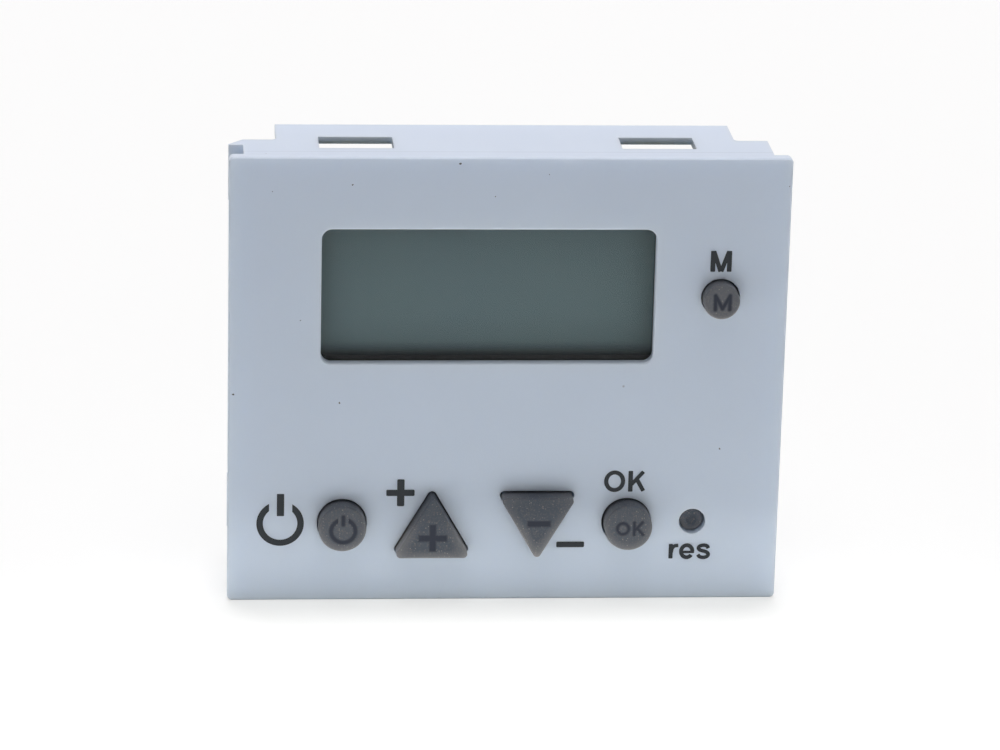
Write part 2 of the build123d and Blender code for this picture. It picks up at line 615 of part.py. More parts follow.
# Plug block: the insulator that holds the pins square to the board
with BuildPart() as plug_block:
    with BuildSketch(at_depth(BOARD_REAR)):
        with Locations((0, PLUG_Z)):
            Rectangle(plug_width, plug_height)
            with GridLocations(PIN_PITCH, PIN_PITCH, PIN_COLUMNS, PIN_ROWS):
                Rectangle(PIN_SIZE, PIN_SIZE, mode=Mode.SUBTRACT)
    extrude(amount=-PLUG_BLOCK_HEIGHT)
    notches = plug_block.edges().filter_by(Axis.Y).group_by(Axis.Z)
    chamfer(notches[0] + notches[-1], PLUG_BLOCK_MARGIN)
finish(plug_block.part, "plug_block")

# Plug pins: square pins, soldered at the board and bare at the other end
with BuildPart() as plug_pins:
    with BuildSketch(at_depth(BOARD_DEPTH - PIN_TAIL)):
        with Locations((0, PLUG_Z)):
            with GridLocations(PIN_PITCH, PIN_PITCH, PIN_COLUMNS, PIN_ROWS):
                Rectangle(PIN_SIZE, PIN_SIZE)
    extrude(amount=-(PIN_TAIL + FRONT - BOARD_DEPTH + PIN_REACH))
    pin_ends = plug_pins.faces().filter_by(Axis.Y).group_by(Axis.Y)[-1]
    chamfer(pin_ends.edges(), PIN_SIZE / 4)
finish(plug_pins.part, "plug_pins")

# Microcontroller: flat package with legs on four sides
with BuildPart() as microcontroller:
    with BuildSketch(at_depth(BOARD_REAR + CHIP_LEG_THICKNESS)):
        with Locations((CHIP_X, CHIP_Z)):
            Rectangle(CHIP_SIZE, CHIP_SIZE)
    extrude(amount=-CHIP_HEIGHT)
    leg_span = CHIP_SIZE + 2 * CHIP_LEG_REACH
    leg_inner_span = CHIP_SIZE - 2 * CHIP_LEG_REACH
    chip_edges = microcontroller.faces().sort_by(Axis.Y)[-1].edges()
    chamfer(chip_edges, CHIP_LEG_THICKNESS)
    with BuildSketch(at_depth(BOARD_REAR)):
        with Locations((CHIP_X, CHIP_Z)):
            with GridLocations(CHIP_LEG_PITCH, 0, CHIP_LEGS_PER_SIDE, 1):
                Rectangle(CHIP_LEG_WIDTH, leg_span)
            with GridLocations(0, CHIP_LEG_PITCH, 1, CHIP_LEGS_PER_SIDE):
                Rectangle(leg_span, CHIP_LEG_WIDTH)
            Rectangle(leg_inner_span, leg_inner_span, mode=Mode.SUBTRACT)
    extrude(amount=-CHIP_LEG_THICKNESS)
finish(microcontroller.part, "microcontroller")

# Quartz crystal: a small metal can lying on the board, on two leads
with BuildPart() as quartz_crystal:
    crystal_axis_depth = BOARD_REAR + CRYSTAL_RADIUS
    crystal_base = Plane.XY.offset(CRYSTAL_Z - CRYSTAL_LENGTH / 2)
    with BuildSketch(crystal_base):
        with Locations((CRYSTAL_X, y_at(crystal_axis_depth))):
            Circle(CRYSTAL_RADIUS)
    extrude(amount=CRYSTAL_LENGTH)
    can_top = quartz_crystal.faces().sort_by(Axis.Z)[-1]
    chamfer(can_top.edges(), CRYSTAL_RADIUS / 4)
    with BuildSketch(crystal_base):
        with Locations((CRYSTAL_X, y_at(crystal_axis_depth))):
            with GridLocations(CRYSTAL_LEAD_SPACING, 0, 2, 1):
                Rectangle(CRYSTAL_LEAD_WIDTH, CRYSTAL_LEAD_WIDTH)
    extrude(amount=-CRYSTAL_LEAD_LENGTH)
    lead_foot_z = CRYSTAL_Z - CRYSTAL_LENGTH / 2 - CRYSTAL_LEAD_LENGTH + CRYSTAL_LEAD_WIDTH / 2
    with BuildSketch(at_depth(BOARD_REAR)):
        with Locations((CRYSTAL_X, lead_foot_z)):
            with GridLocations(CRYSTAL_LEAD_SPACING, 0, 2, 1):
                Rectangle(CRYSTAL_LEAD_WIDTH, CRYSTAL_LEAD_WIDTH)
    extrude(amount=-(CRYSTAL_RADIUS + CRYSTAL_LEAD_WIDTH / 2))
finish(quartz_crystal.part, "quartz_crystal")

# Backup cell: keeps the clock when the mains fails
with BuildPart() as backup_cell:
    with BuildSketch(at_depth(BOARD_REAR + CELL_LIFT)):
        with Locations((CELL_X, CELL_Z)):
            Circle(CELL_RADIUS)
    extrude(amount=-CELL_THICKNESS)
    cell_face = backup_cell.faces().sort_by(Axis.Y)[-1]
    chamfer(cell_face.edges(), CELL_EDGE_CHAMFER)
finish(backup_cell.part, "backup_cell")

# Cell clip: a spring strip over the cell and down to the board at both ends
with BuildPart() as cell_clip:
    clip_top = BOARD_REAR + CELL_LIFT + CELL_THICKNESS
    clip_half = CELL_RADIUS + CLIP_THICKNESS
    with BuildSketch(Plane.XY.offset(CELL_Z - CLIP_WIDTH / 2)):
        with BuildLine():
            Polyline(
                (CELL_X - clip_half - CLIP_FOOT, y_at(BOARD_REAR)),
                (CELL_X - clip_half + CLIP_THICKNESS, y_at(BOARD_REAR)),
                (CELL_X - clip_half + CLIP_THICKNESS, y_at(clip_top)),
                (CELL_X + clip_half - CLIP_THICKNESS, y_at(clip_top)),
                (CELL_X + clip_half - CLIP_THICKNESS, y_at(BOARD_REAR)),
                (CELL_X + clip_half + CLIP_FOOT, y_at(BOARD_REAR)),
                (CELL_X + clip_half + CLIP_FOOT, y_at(BOARD_REAR + CLIP_THICKNESS)),
                (CELL_X + clip_half, y_at(BOARD_REAR + CLIP_THICKNESS)),
                (CELL_X + clip_half, y_at(clip_top + CLIP_THICKNESS)),
                (CELL_X - clip_half, y_at(clip_top + CLIP_THICKNESS)),
                (CELL_X - clip_half, y_at(BOARD_REAR + CLIP_THICKNESS)),
                (CELL_X - clip_half - CLIP_FOOT, y_at(BOARD_REAR + CLIP_THICKNESS)),
                close=True,
            )
        make_face()
    extrude(amount=CLIP_WIDTH)
finish(cell_clip.part, "cell_clip")

# Capacitor: an upright can on its square plastic base
with BuildPart() as capacitor:
    with BuildSketch(at_depth(BOARD_REAR)):
        with Locations((CAPACITOR_X, CAPACITOR_Z)):
            Rectangle(CAPACITOR_BASE, CAPACITOR_BASE)
    extrude(amount=-CAPACITOR_BASE_HEIGHT)
    with BuildSketch(at_depth(BOARD_REAR + CAPACITOR_BASE_HEIGHT)):
        with Locations((CAPACITOR_X, CAPACITOR_Z)):
            Circle(CAPACITOR_RADIUS)
    extrude(amount=-(CAPACITOR_HEIGHT - CAPACITOR_BASE_HEIGHT))
    can_end = capacitor.faces().sort_by(Axis.Y)[-1]
    chamfer(can_end.edges(), CAPACITOR_RADIUS / 10)
finish(capacitor.part, "capacitor")

# Small chip parts, in two rows beside the plug
with BuildPart() as chip_parts:
    with BuildSketch(at_depth(BOARD_REAR)):
        with Locations(
            (CHIP_RESISTOR_LEFT_X, CHIP_RESISTOR_Z), (CHIP_RESISTOR_RIGHT_X, CHIP_RESISTOR_Z)
        ):
            with GridLocations(
                CHIP_RESISTOR_PITCH_X,
                CHIP_RESISTOR_PITCH_Z,
                CHIP_RESISTOR_COLUMNS,
                CHIP_RESISTOR_ROWS,
            ):
                Rectangle(CHIP_RESISTOR_WIDTH, CHIP_RESISTOR_LENGTH)
    extrude(amount=-CHIP_RESISTOR_HEIGHT)
finish(chip_parts.part, "chip_parts")

# Rear cover: a tray clamped on the board, with the shroud round the plug
with BuildPart() as rear_cover:
    with BuildSketch(at_depth(BOARD_REAR)):
        RectangleRounded(COVER_WIDTH, COVER_HEIGHT, COVER_CORNER_RADIUS)
    extrude(amount=-COVER_DEPTH)
    back_face = rear_cover.faces().sort_by(Axis.Y)[-1]
    chamfer(back_face.edges(), COVER_EDGE_CHAMFER)
    with BuildSketch(at_depth(BOARD_REAR)):
        Rectangle(COVER_WIDTH - 2 * COVER_WALL, COVER_HEIGHT - 2 * COVER_WALL)
        with Locations(*SCREW_PLACES):
            Circle(PILLAR_RADIUS, mode=Mode.SUBTRACT)
    extrude(amount=-(COVER_DEPTH - COVER_WALL), mode=Mode.SUBTRACT)
    shroud_width = plug_width + 2 * SHROUD_GAP
    shroud_height = plug_height + 2 * SHROUD_GAP
    with BuildSketch(at_depth(FRONT)):
        with Locations((0, PLUG_Z)):
            Rectangle(shroud_width + 2 * SHROUD_WALL, shroud_height + 2 * SHROUD_WALL)
    extrude(amount=-SHROUD_REACH)
    shroud_end = rear_cover.faces().sort_by(Axis.Y)[-1]
    chamfer(shroud_end.edges(), SHROUD_EDGE_CHAMFER)
    with BuildSketch(at_depth(FRONT - COVER_WALL)):
        with Locations((0, PLUG_Z)):
            Rectangle(shroud_width, shroud_height)
    extrude(amount=-(COVER_WALL + SHROUD_REACH), mode=Mode.SUBTRACT)
    with BuildSketch(at_depth(FRONT)):
        with Locations(*SCREW_PLACES):
            Circle(SCREW_RADIUS + SCREW_PLAY)
    extrude(amount=COVER_DEPTH, mode=Mode.SUBTRACT)
    with BuildSketch(at_depth(FRONT)):
        with Locations(*SCREW_PLACES):
            Circle(SCREW_HEAD_RADIUS + SCREW_HEAD_SUNK)
    extrude(amount=SCREW_HEAD_HEIGHT + SCREW_HEAD_SUNK, mode=Mode.SUBTRACT)
finish(rear_cover.part, "rear_cover")

# Cover screws: one at each side holds rear cover, board and front cover together
with BuildPart() as cover_screws:
    with BuildSketch(at_depth(FRONT - SCREW_HEAD_SUNK)):
        with Locations(*SCREW_PLACES):
            Circle(SCREW_HEAD_RADIUS)
    extrude(amount=SCREW_HEAD_HEIGHT)
    with BuildSketch(at_depth(FRONT - SCREW_HEAD_SUNK - SCREW_HEAD_HEIGHT)):
        with Locations(*SCREW_PLACES):
            Circle(SCREW_RADIUS)
    extrude(amount=SCREW_LENGTH)
finish(cover_screws.part, "cover_screws")
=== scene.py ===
import math

import bpy
import numpy as np
from mathutils import Matrix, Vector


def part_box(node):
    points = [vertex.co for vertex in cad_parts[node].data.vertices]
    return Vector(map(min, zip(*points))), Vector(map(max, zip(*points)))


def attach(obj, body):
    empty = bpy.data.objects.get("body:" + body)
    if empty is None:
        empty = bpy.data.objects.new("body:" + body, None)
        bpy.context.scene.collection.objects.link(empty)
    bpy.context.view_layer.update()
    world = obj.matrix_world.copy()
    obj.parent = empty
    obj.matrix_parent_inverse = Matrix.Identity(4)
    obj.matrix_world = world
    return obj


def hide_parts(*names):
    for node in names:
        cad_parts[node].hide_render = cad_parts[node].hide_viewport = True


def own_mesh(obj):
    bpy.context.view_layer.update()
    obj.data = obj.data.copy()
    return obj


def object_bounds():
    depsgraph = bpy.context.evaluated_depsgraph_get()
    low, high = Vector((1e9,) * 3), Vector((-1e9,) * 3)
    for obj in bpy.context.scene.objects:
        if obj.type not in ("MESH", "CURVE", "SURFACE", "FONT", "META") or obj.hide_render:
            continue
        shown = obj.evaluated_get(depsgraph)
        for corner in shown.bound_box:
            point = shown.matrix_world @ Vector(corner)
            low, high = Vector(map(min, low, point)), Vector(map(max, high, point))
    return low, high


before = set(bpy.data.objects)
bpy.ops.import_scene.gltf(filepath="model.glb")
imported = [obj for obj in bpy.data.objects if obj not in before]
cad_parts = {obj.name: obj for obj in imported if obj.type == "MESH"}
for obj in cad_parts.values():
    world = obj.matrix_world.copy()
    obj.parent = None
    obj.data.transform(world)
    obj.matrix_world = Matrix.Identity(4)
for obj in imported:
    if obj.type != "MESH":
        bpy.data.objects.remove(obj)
cad_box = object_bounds()

# Camera: the photograph's viewing angle, a little from the left and from above. Angles are in
# radians and lengths in metres, from a fit to the plate's edges and the round openings.
camera_data = bpy.data.cameras.new("camera")
camera_data.sensor_width = 36.0
camera_data.lens = 158.4
camera_data.clip_start = 0.02
camera = bpy.data.objects.new("camera", camera_data)
bpy.context.scene.collection.objects.link(camera)
bpy.context.scene.camera = camera
camera_turn, camera_lift, camera_roll = -0.0836941, 0.3169035, 0.0248081
camera_aim = np.array([-0.0007218, -0.017, 0.0006947])
camera_distance = 0.425886
backward = np.array(
    [
        math.sin(camera_turn) * math.cos(camera_lift),
        -math.cos(camera_turn) * math.cos(camera_lift),
        math.sin(camera_lift),
    ]
)
level = np.array([math.cos(camera_turn), math.sin(camera_turn), 0.0])
upright = np.cross(backward, level)
rightward = math.cos(camera_roll) * level + math.sin(camera_roll) * upright
upward = math.cos(camera_roll) * upright - math.sin(camera_roll) * level
camera_pose = np.eye(4)
camera_pose[:3, :3] = np.column_stack([rightward, upward, backward])
camera_pose[:3, 3] = camera_aim + camera_distance * backward
camera.matrix_world = Matrix(camera_pose.tolist())


# Light: a lamp overhead and a little behind, a wider and weaker one overhead and a little in
# front, a faint even surround, and two low lamps that brighten the white floor in front, from
# which the face gets most of its light, from below.
def worked_out(nodes, links, operation, first, second=0.0):
    """Output of a Math node on two values, each a number or another node's output."""
    node = nodes.new("ShaderNodeMath")
    node.operation = operation
    for socket, value in zip(node.inputs, (first, second)):
        if isinstance(value, float):
            socket.default_value = value
        else:
            links.new(value, socket)
    return node.outputs[0]


SURROUND_STRENGTH = 0.01
scene = bpy.context.scene
scene.view_settings.view_transform = "Standard"
# Suns: name, strength, colour, width and forward tilt in degrees
for name, energy, colour, spread, tilt in (
    ("overhead", 2.25, (1.0, 0.975, 1.02), 16, -9),
    ("overhead_front", 0.8, (1.0, 0.985, 0.97), 45, 17),
):
    lamp_data = bpy.data.lights.new(name, "SUN")
    lamp_data.energy = energy
    lamp_data.color = colour
    lamp_data.angle = math.radians(spread)
    lamp = bpy.data.objects.new(name, lamp_data)
    lamp.rotation_euler = (math.radians(tilt), 0.0, 0.0)
    scene.collection.objects.link(lamp)
# Low lamps over the floor: name, width and length, middle, power in watts
for name, width, length, middle, power in (
    ("far_floor", 0.5, 0.3, (0.02, -0.19, -0.0125), 0.0728),
    ("near_floor", 0.12, 0.02, (0.006, -0.036, -0.0125), 0.0073),
):
    lamp_data = bpy.data.lights.new(name, "AREA")
    lamp_data.shape = "RECTANGLE"
    lamp_data.size = width
    lamp_data.size_y = length
    lamp_data.energy = power
    lamp_data.color = (1.0, 0.985, 0.94)
    lamp = bpy.data.objects.new(name, lamp_data)
    lamp.location = middle
    lamp.visible_camera = False
    scene.collection.objects.link(lamp)
surround = bpy.data.worlds.new("surround")
scene.world = surround
surround.use_nodes = True
tree = surround.node_tree
tree.nodes.clear()
sees = tree.nodes.new("ShaderNodeLightPath")
either = worked_out(
    tree.nodes, tree.links, "MAXIMUM", sees.outputs["Is Camera Ray"], sees.outputs["Is Glossy Ray"]
)
tent = tree.nodes.new("ShaderNodeBackground")
tent.inputs["Color"].default_value = (1.0, 1.0, 1.0, 1.0)
tent.inputs["Strength"].default_value = SURROUND_STRENGTH
white = tree.nodes.new("ShaderNodeBackground")
white.inputs["Color"].default_value = (1.0, 1.0, 1.0, 1.0)
white.inputs["Strength"].default_value = 1.0
blend_in = tree.nodes.new("ShaderNodeMixShader")
tree.links.new(either, blend_in.inputs[0])
tree.links.new(tent.outputs[0], blend_in.inputs[1])
tree.links.new(white.outputs[0], blend_in.inputs[2])
world_out = tree.nodes.new("ShaderNodeOutputWorld")
tree.links.new(blend_in.outputs[0], world_out.inputs["Surface"])


# Floor: a plain white sheet that the module stands on. For the camera alone it is mixed half
# and half with plain white, which brings it near white and leaves the shadow on it.
def finish(name, colour, roughness, **sockets):
    """A material with one Principled shader, its plain values set on the shader itself."""
    material = bpy.data.materials.new(name)
    material.use_nodes = True
    shader = material.node_tree.nodes["Principled BSDF"]
    shader.inputs["Base Color"].default_value = (*colour, 1.0)
    shader.inputs["Roughness"].default_value = roughness
    for socket, value in sockets.items():
        shader.inputs[socket.replace("_", " ")].default_value = value
    return material, material.node_tree.nodes, material.node_tree.links, shader


FLOOR_REACH, FLOOR_GAP = 3.0, 0.00002
FLOOR_WHITENED = 0.5
floor_level = cad_box[0].z - FLOOR_GAP
floor_mesh = bpy.data.meshes.new("floor")
floor_mesh.from_pydata(
    [
        (-FLOOR_REACH, -FLOOR_REACH, floor_level),
        (FLOOR_REACH, -FLOOR_REACH, floor_level),
        (FLOOR_REACH, FLOOR_REACH, floor_level),
        (-FLOOR_REACH, FLOOR_REACH, floor_level),
    ],
    [],
    [(0, 1, 2, 3)],
)
floor = bpy.data.objects.new("floor", floor_mesh)
scene.collection.objects.link(floor)
white_sheet, nodes, links, shader = finish("white_sheet", (0.97, 0.982, 0.955), 0.9)
sees = nodes.new("ShaderNodeLightPath")
half_seen = worked_out(nodes, links, "MULTIPLY", sees.outputs["Is Camera Ray"], FLOOR_WHITENED)
plain_white = nodes.new("ShaderNodeEmission")
plain_white.inputs["Color"].default_value = (1.0, 1.0, 1.0, 1.0)
plain_white.inputs["Strength"].default_value = 1.0
whitened = nodes.new("ShaderNodeMixShader")
links.new(half_seen, whitened.inputs[0])
links.new(shader.outputs[0], whitened.inputs[1])
links.new(plain_white.outputs[0], whitened.inputs[2])
links.new(whitened.outputs[0], nodes["Material Output"].inputs["Surface"])
floor_mesh.materials.append(white_sheet)


# Front cover: one moulding of white plastic, plate and slotted skirt, with a spark-eroded
# grain. The plastic lets a little light through, so that thin walls and the sides of holes
# glow, and the skirt's colour is darker along a fine line across it, behind the face.
MM = 0.001
# y of the face and of the darker line, and distances at which the line fades out and is full
FACE, DARKER_LINE_Y = -17.0, -13.15
LINE_FADES, LINE_FULL = 0.19, 0.02


def moulded_grain():
    """Group: fine grain height from one noise, and a slow drift of tone from a second, both round 0.5."""
    group = bpy.data.node_groups.new("moulded_grain", "ShaderNodeTree")
    group.interface.new_socket("Grain per metre", in_out="INPUT", socket_type="NodeSocketFloat")
    group.interface.new_socket("Drift per metre", in_out="INPUT", socket_type="NodeSocketFloat")
    group.interface.new_socket("Height", in_out="OUTPUT", socket_type="NodeSocketFloat")
    group.interface.new_socket("Drift", in_out="OUTPUT", socket_type="NodeSocketFloat")
    entry = group.nodes.new("NodeGroupInput")
    leave = group.nodes.new("NodeGroupOutput")
    place = group.nodes.new("ShaderNodeTexCoord")
    fine = group.nodes.new("ShaderNodeTexNoise")
    fine.inputs["Detail"].default_value = 3.0
    fine.inputs["Roughness"].default_value = 0.6
    slow = group.nodes.new("ShaderNodeTexNoise")
    slow.inputs["Detail"].default_value = 2.0
    for noise, wanted in ((fine, "Grain per metre"), (slow, "Drift per metre")):
        group.links.new(place.outputs["Object"], noise.inputs["Vector"])
        group.links.new(entry.outputs[wanted], noise.inputs["Scale"])
    group.links.new(fine.outputs["Fac"], leave.inputs["Height"])
    group.links.new(slow.outputs["Fac"], leave.inputs["Drift"])
    return group


def dust_specks():
    """Group: round specks, one at most in each cell of a Voronoi pattern. A cell keeps its speck where its
    own random value is above the share that stays bare."""
    group = bpy.data.node_groups.new("dust_specks", "ShaderNodeTree")
    group.interface.new_socket("Cells per metre", in_out="INPUT", socket_type="NodeSocketFloat")
    group.interface.new_socket("Speck size", in_out="INPUT", socket_type="NodeSocketFloat")
    group.interface.new_socket("Share bare", in_out="INPUT", socket_type="NodeSocketFloat")
    group.interface.new_socket("Mask", in_out="OUTPUT", socket_type="NodeSocketFloat")
    entry = group.nodes.new("NodeGroupInput")
    leave = group.nodes.new("NodeGroupOutput")
    place = group.nodes.new("ShaderNodeTexCoord")
    cells = group.nodes.new("ShaderNodeTexVoronoi")
    group.links.new(place.outputs["Object"], cells.inputs["Vector"])
    group.links.new(entry.outputs["Cells per metre"], cells.inputs["Scale"])
    near = group.nodes.new("ShaderNodeMapRange")
    near.interpolation_type = "SMOOTHSTEP"
    near.inputs["To Min"].default_value = 1.0
    near.inputs["To Max"].default_value = 0.0
    near.inputs["From Min"].default_value = 0.0
    group.links.new(cells.outputs["Distance"], near.inputs["Value"])
    group.links.new(entry.outputs["Speck size"], near.inputs["From Max"])
    split = group.nodes.new("ShaderNodeSeparateColor")
    group.links.new(cells.outputs["Color"], split.inputs[0])
    kept = worked_out(
        group.nodes, group.links, "GREATER_THAN", split.outputs[0], entry.outputs["Share bare"]
    )
    mask = worked_out(group.nodes, group.links, "MULTIPLY", near.outputs[0], kept)
    group.links.new(mask, leave.inputs["Mask"])
    return group


grain_group = moulded_grain()
speck_group = dust_specks()


def add_group(nodes, group, **values):
    """Places a group in a material with its own values, named with underscores for spaces."""
    placed = nodes.new("ShaderNodeGroup")
    placed.node_tree = group
    for socket, value in values.items():
        placed.inputs[socket.replace("_", " ")].default_value = value
    return placed


def two_tones(nodes, links, factor, dark, light):
    """A colour that goes from dark to light as the factor goes from 0 to 1."""
    mix = nodes.new("ShaderNodeMix")
    mix.data_type = "RGBA"
    for socket, colour in ((mix.inputs[6], dark), (mix.inputs[7], light)):
        if isinstance(colour, tuple):
            socket.default_value = (*colour, 1.0)
        else:
            links.new(colour, socket)
    links.new(factor, mix.inputs[0])
    return mix.outputs[2]


def bump_from(nodes, links, shader, height, distance):
    """Feeds a height to the shader's normal through a Bump node, as deep as distance in metres."""
    bump = nodes.new("ShaderNodeBump")
    bump.inputs["Strength"].default_value = 1.0
    bump.inputs["Distance"].default_value = distance
    links.new(height, bump.inputs["Height"])
    links.new(bump.outputs[0], shader.inputs["Normal"])


def object_axes(nodes, links):
    """X, Y and Z of the shaded point, in the frame's metres."""
    place = nodes.new("ShaderNodeTexCoord")
    axes = nodes.new("ShaderNodeSeparateXYZ")
    links.new(place.outputs["Object"], axes.inputs[0])
    return axes.outputs


def fade(nodes, links, value, start, end):
    """A smooth step from 0 at start to 1 at end."""
    step = nodes.new("ShaderNodeMapRange")
    step.interpolation_type = "SMOOTHSTEP"
    step.inputs["From Min"].default_value = start
    step.inputs["From Max"].default_value = end
    links.new(value, step.inputs["Value"])
    return step.outputs[0]


def dress(node, material):
    """Puts one material on every slot of a CAD node."""
    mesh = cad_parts[node].data
    mesh.materials.clear()
    mesh.materials.append(material)


cover_plastic, nodes, links, shader = finish(
    "cover_plastic", (0.605, 0.686, 0.806), 0.42, Specular_IOR_Level=0.35, Subsurface_Weight=0.6
)
shader.inputs["Subsurface Radius"].default_value = (0.0016, 0.0016, 0.0016)
shader.inputs["Subsurface Scale"].default_value = 1.0
grain = add_group(nodes, grain_group, Grain_per_metre=9000.0, Drift_per_metre=90.0)
tone = two_tones(nodes, links, grain.outputs["Drift"], (0.593, 0.672, 0.789), (0.617, 0.7, 0.823))
specks = add_group(nodes, speck_group, Cells_per_metre=260.0, Speck_size=0.05, Share_bare=0.78)
tone = two_tones(nodes, links, specks.outputs["Mask"], tone, (0.3, 0.33, 0.38))
# The skirt's colour darkens along a fine line across it, behind the face
beside_line = worked_out(nodes, links, "SUBTRACT", object_axes(nodes, links)["Y"], DARKER_LINE_Y * MM)
line_away = worked_out(nodes, links, "ABSOLUTE", beside_line)
on_line = fade(nodes, links, line_away, LINE_FADES * MM, LINE_FULL * MM)
tone = two_tones(nodes, links, on_line, tone, (0.54, 0.615, 0.725))
links.new(tone, shader.inputs["Base Color"])
bump_from(nodes, links, shader, grain.outputs["Height"], 0.000012)
dress("front_cover", cover_plastic)

# Dust flecks: a few dark grains that lie on the face, none wider than about a quarter of a
# millimetre. They are flat and ragged, just proud of the cover: x, z and reach in mm.
FLECK_LIFT = 0.008
FLECKS = (
    (-5.0, 21.88, 0.11),
    (-15.24, 19.77, 0.075),
    (-22.86, 19.09, 0.05),
    (-20.08, 6.23, 0.055),
    (-1.58, 18.64, 0.055),
    (3.54, 20.83, 0.05),
    (26.7, 19.7, 0.05),
    (-16.23, -2.13, 0.09),
    (20.98, -6.92, 0.08),
    (-26.5, -1.25, 0.1),
)


def fleck_outlines(flecks, count=14):
    """Outline of each fleck, one row each: a circle whose reach swings by a fifth twice a round, and by
    three twentieths three times a round."""
    middle_x, middle_z, reach = np.array(flecks).T[:, :, None]
    angle = np.linspace(0, 2 * np.pi, count, endpoint=False)[None, :]
    turn = 40 * middle_x
    ragged = reach * (1 + 0.2 * np.sin(2 * angle + turn) + 0.15 * np.sin(3 * angle - turn))
    return middle_x + ragged * np.cos(angle), middle_z + ragged * np.sin(angle)


fleck_x, fleck_z = fleck_outlines(FLECKS)
fleck_places = np.stack([fleck_x, np.full(fleck_x.shape, FACE - FLECK_LIFT), fleck_z], axis=-1) * MM
fleck_mesh = bpy.data.meshes.new("dust_flecks")
fleck_mesh.from_pydata(
    fleck_places.reshape(-1, 3).tolist(), [], np.arange(fleck_x.size).reshape(fleck_x.shape).tolist()
)
flecks = bpy.data.objects.new("dust_flecks", fleck_mesh)
scene.collection.objects.link(flecks)
dust, nodes, links, shader = finish("dust", (0.03, 0.03, 0.035), 0.9)
grain = add_group(nodes, grain_group, Grain_per_metre=30000.0, Drift_per_metre=400.0)
tone = two_tones(nodes, links, grain.outputs["Drift"], (0.015, 0.015, 0.02), (0.12, 0.11, 0.11))
links.new(tone, shader.inputs["Base Color"])
fleck_mesh.materials.append(dust)
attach(flecks, "housing")


# Display window: a clear plate cut from acrylic sheet and polished. It is bonded into the
# rebate of its opening, a millimetre behind the face.
def clear_finish(name, colour, roughness, bend):
    """A clear material: glass to the eye, and open to the lamps so that what is behind it stays lit."""
    material, nodes, links, shader = finish(name, colour, roughness, Transmission_Weight=1.0, IOR=bend)
    path = nodes.new("ShaderNodeLightPath")
    open_way = nodes.new("ShaderNodeBsdfTransparent")
    open_way.inputs["Color"].default_value = (*colour, 1.0)
    either_way = nodes.new("ShaderNodeMixShader")
    links.new(path.outputs["Is Shadow Ray"], either_way.inputs[0])
    links.new(shader.outputs[0], either_way.inputs[1])
    links.new(open_way.outputs[0], either_way.inputs[2])
    links.new(either_way.outputs[0], nodes["Material Output"].inputs["Surface"])
    return material


dress("display_window", clear_finish("window_acrylic", (0.97, 0.98, 0.98), 0.0, 1.2))

# Gasket: a frame die-cut from black closed-cell foam. It is pressed between the window and the
# bezel, and keeps dust away from the display.
gasket_foam, nodes, links, shader = finish("gasket_foam", (0.012, 0.012, 0.013), 0.9)
pores = nodes.new("ShaderNodeTexVoronoi")
pores.inputs["Scale"].default_value = 6000.0
place = nodes.new("ShaderNodeTexCoord")
links.new(place.outputs["Object"], pores.inputs["Vector"])
bump_from(nodes, links, shader, pores.outputs["Distance"], 0.00003)
tone = two_tones(nodes, links, pores.outputs["Distance"], (0.006, 0.006, 0.007), (0.022, 0.022, 0.023))
links.new(tone, shader.inputs["Base Color"])
dress("display_gasket", gasket_foam)


# Bezel: a black moulding round the display, with legs that stand in slots of the board. It
# holds the glass against the contact strips.
def grained(name, colour, roughness, tones, pitches, relief, **sockets):
    """A material with a fine grain as deep as relief in metres. Its colour drifts between two tones, and
    pitches says how many grains and how many drifts there are in a metre."""
    material, nodes, links, shader = finish(name, colour, roughness, **sockets)
    grain = add_group(nodes, grain_group, Grain_per_metre=pitches[0], Drift_per_metre=pitches[1])
    links.new(two_tones(nodes, links, grain.outputs["Drift"], *tones), shader.inputs["Base Color"])
    bump_from(nodes, links, shader, grain.outputs["Height"], relief)
    return material


bezel_plastic = grained(
    "bezel_plastic",
    (0.02, 0.02, 0.022),
    0.5,
    ((0.016, 0.016, 0.018), (0.026, 0.026, 0.028)),
    (7000.0, 200.0),
    0.00001,
)
dress("lcd_bezel", bezel_plastic)

# Display: two glasses with a grey-green polarising film in front and a reflecting foil
# behind, without figures. The film's colour carries a painted shade of the bezel round it,
# darkest towards its edges and most at the lower one.

# Painted shade of the bezel, in mm inwards from the film's edges: where it is full and where it ends
PAINTED_SHADE_BELOW, PAINTED_SHADE_BESIDE = (-0.35, 1.75), (-0.3, 0.2)
film_low, film_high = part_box("lcd_front_polariser")
polariser_film, nodes, links, shader = finish(
    "polariser_film", (0.1, 0.14, 0.15), 0.45, Specular_IOR_Level=0.08
)
axes = object_axes(nodes, links)
inside = fade(nodes, links, axes["Z"], *(film_low.z + away * MM for away in PAINTED_SHADE_BELOW))
from_right = fade(nodes, links, axes["X"], *(film_high.x - away * MM for away in PAINTED_SHADE_BESIDE))
from_left = fade(nodes, links, axes["X"], *(film_low.x + away * MM for away in PAINTED_SHADE_BESIDE))
for side in (from_right, from_left):
    inside = worked_out(nodes, links, "MULTIPLY", inside, side)
grain = add_group(nodes, grain_group, Grain_per_metre=3000.0, Drift_per_metre=60.0)
tone = two_tones(nodes, links, grain.outputs["Drift"], (0.094, 0.139, 0.157), (0.103, 0.15, 0.154))
# Painted shade: towards the film's edges its colour goes to near black
tone = two_tones(nodes, links, inside, (0.006, 0.0065, 0.008), tone)
links.new(tone, shader.inputs["Base Color"])
dress("lcd_front_polariser", polariser_film)
display_glass = clear_finish("display_glass", (0.9, 0.95, 0.94), 0.0, 1.5)
dress("lcd_front_glass", display_glass)
dress("lcd_rear_glass", display_glass)
reflector_foil = grained(
    "reflector_foil",
    (0.2, 0.26, 0.25),
    0.35,
    ((0.17, 0.22, 0.21), (0.24, 0.3, 0.29)),
    (12000.0, 300.0),
    0.000008,
    Metallic=0.6,
)
dress("lcd_reflector", reflector_foil)

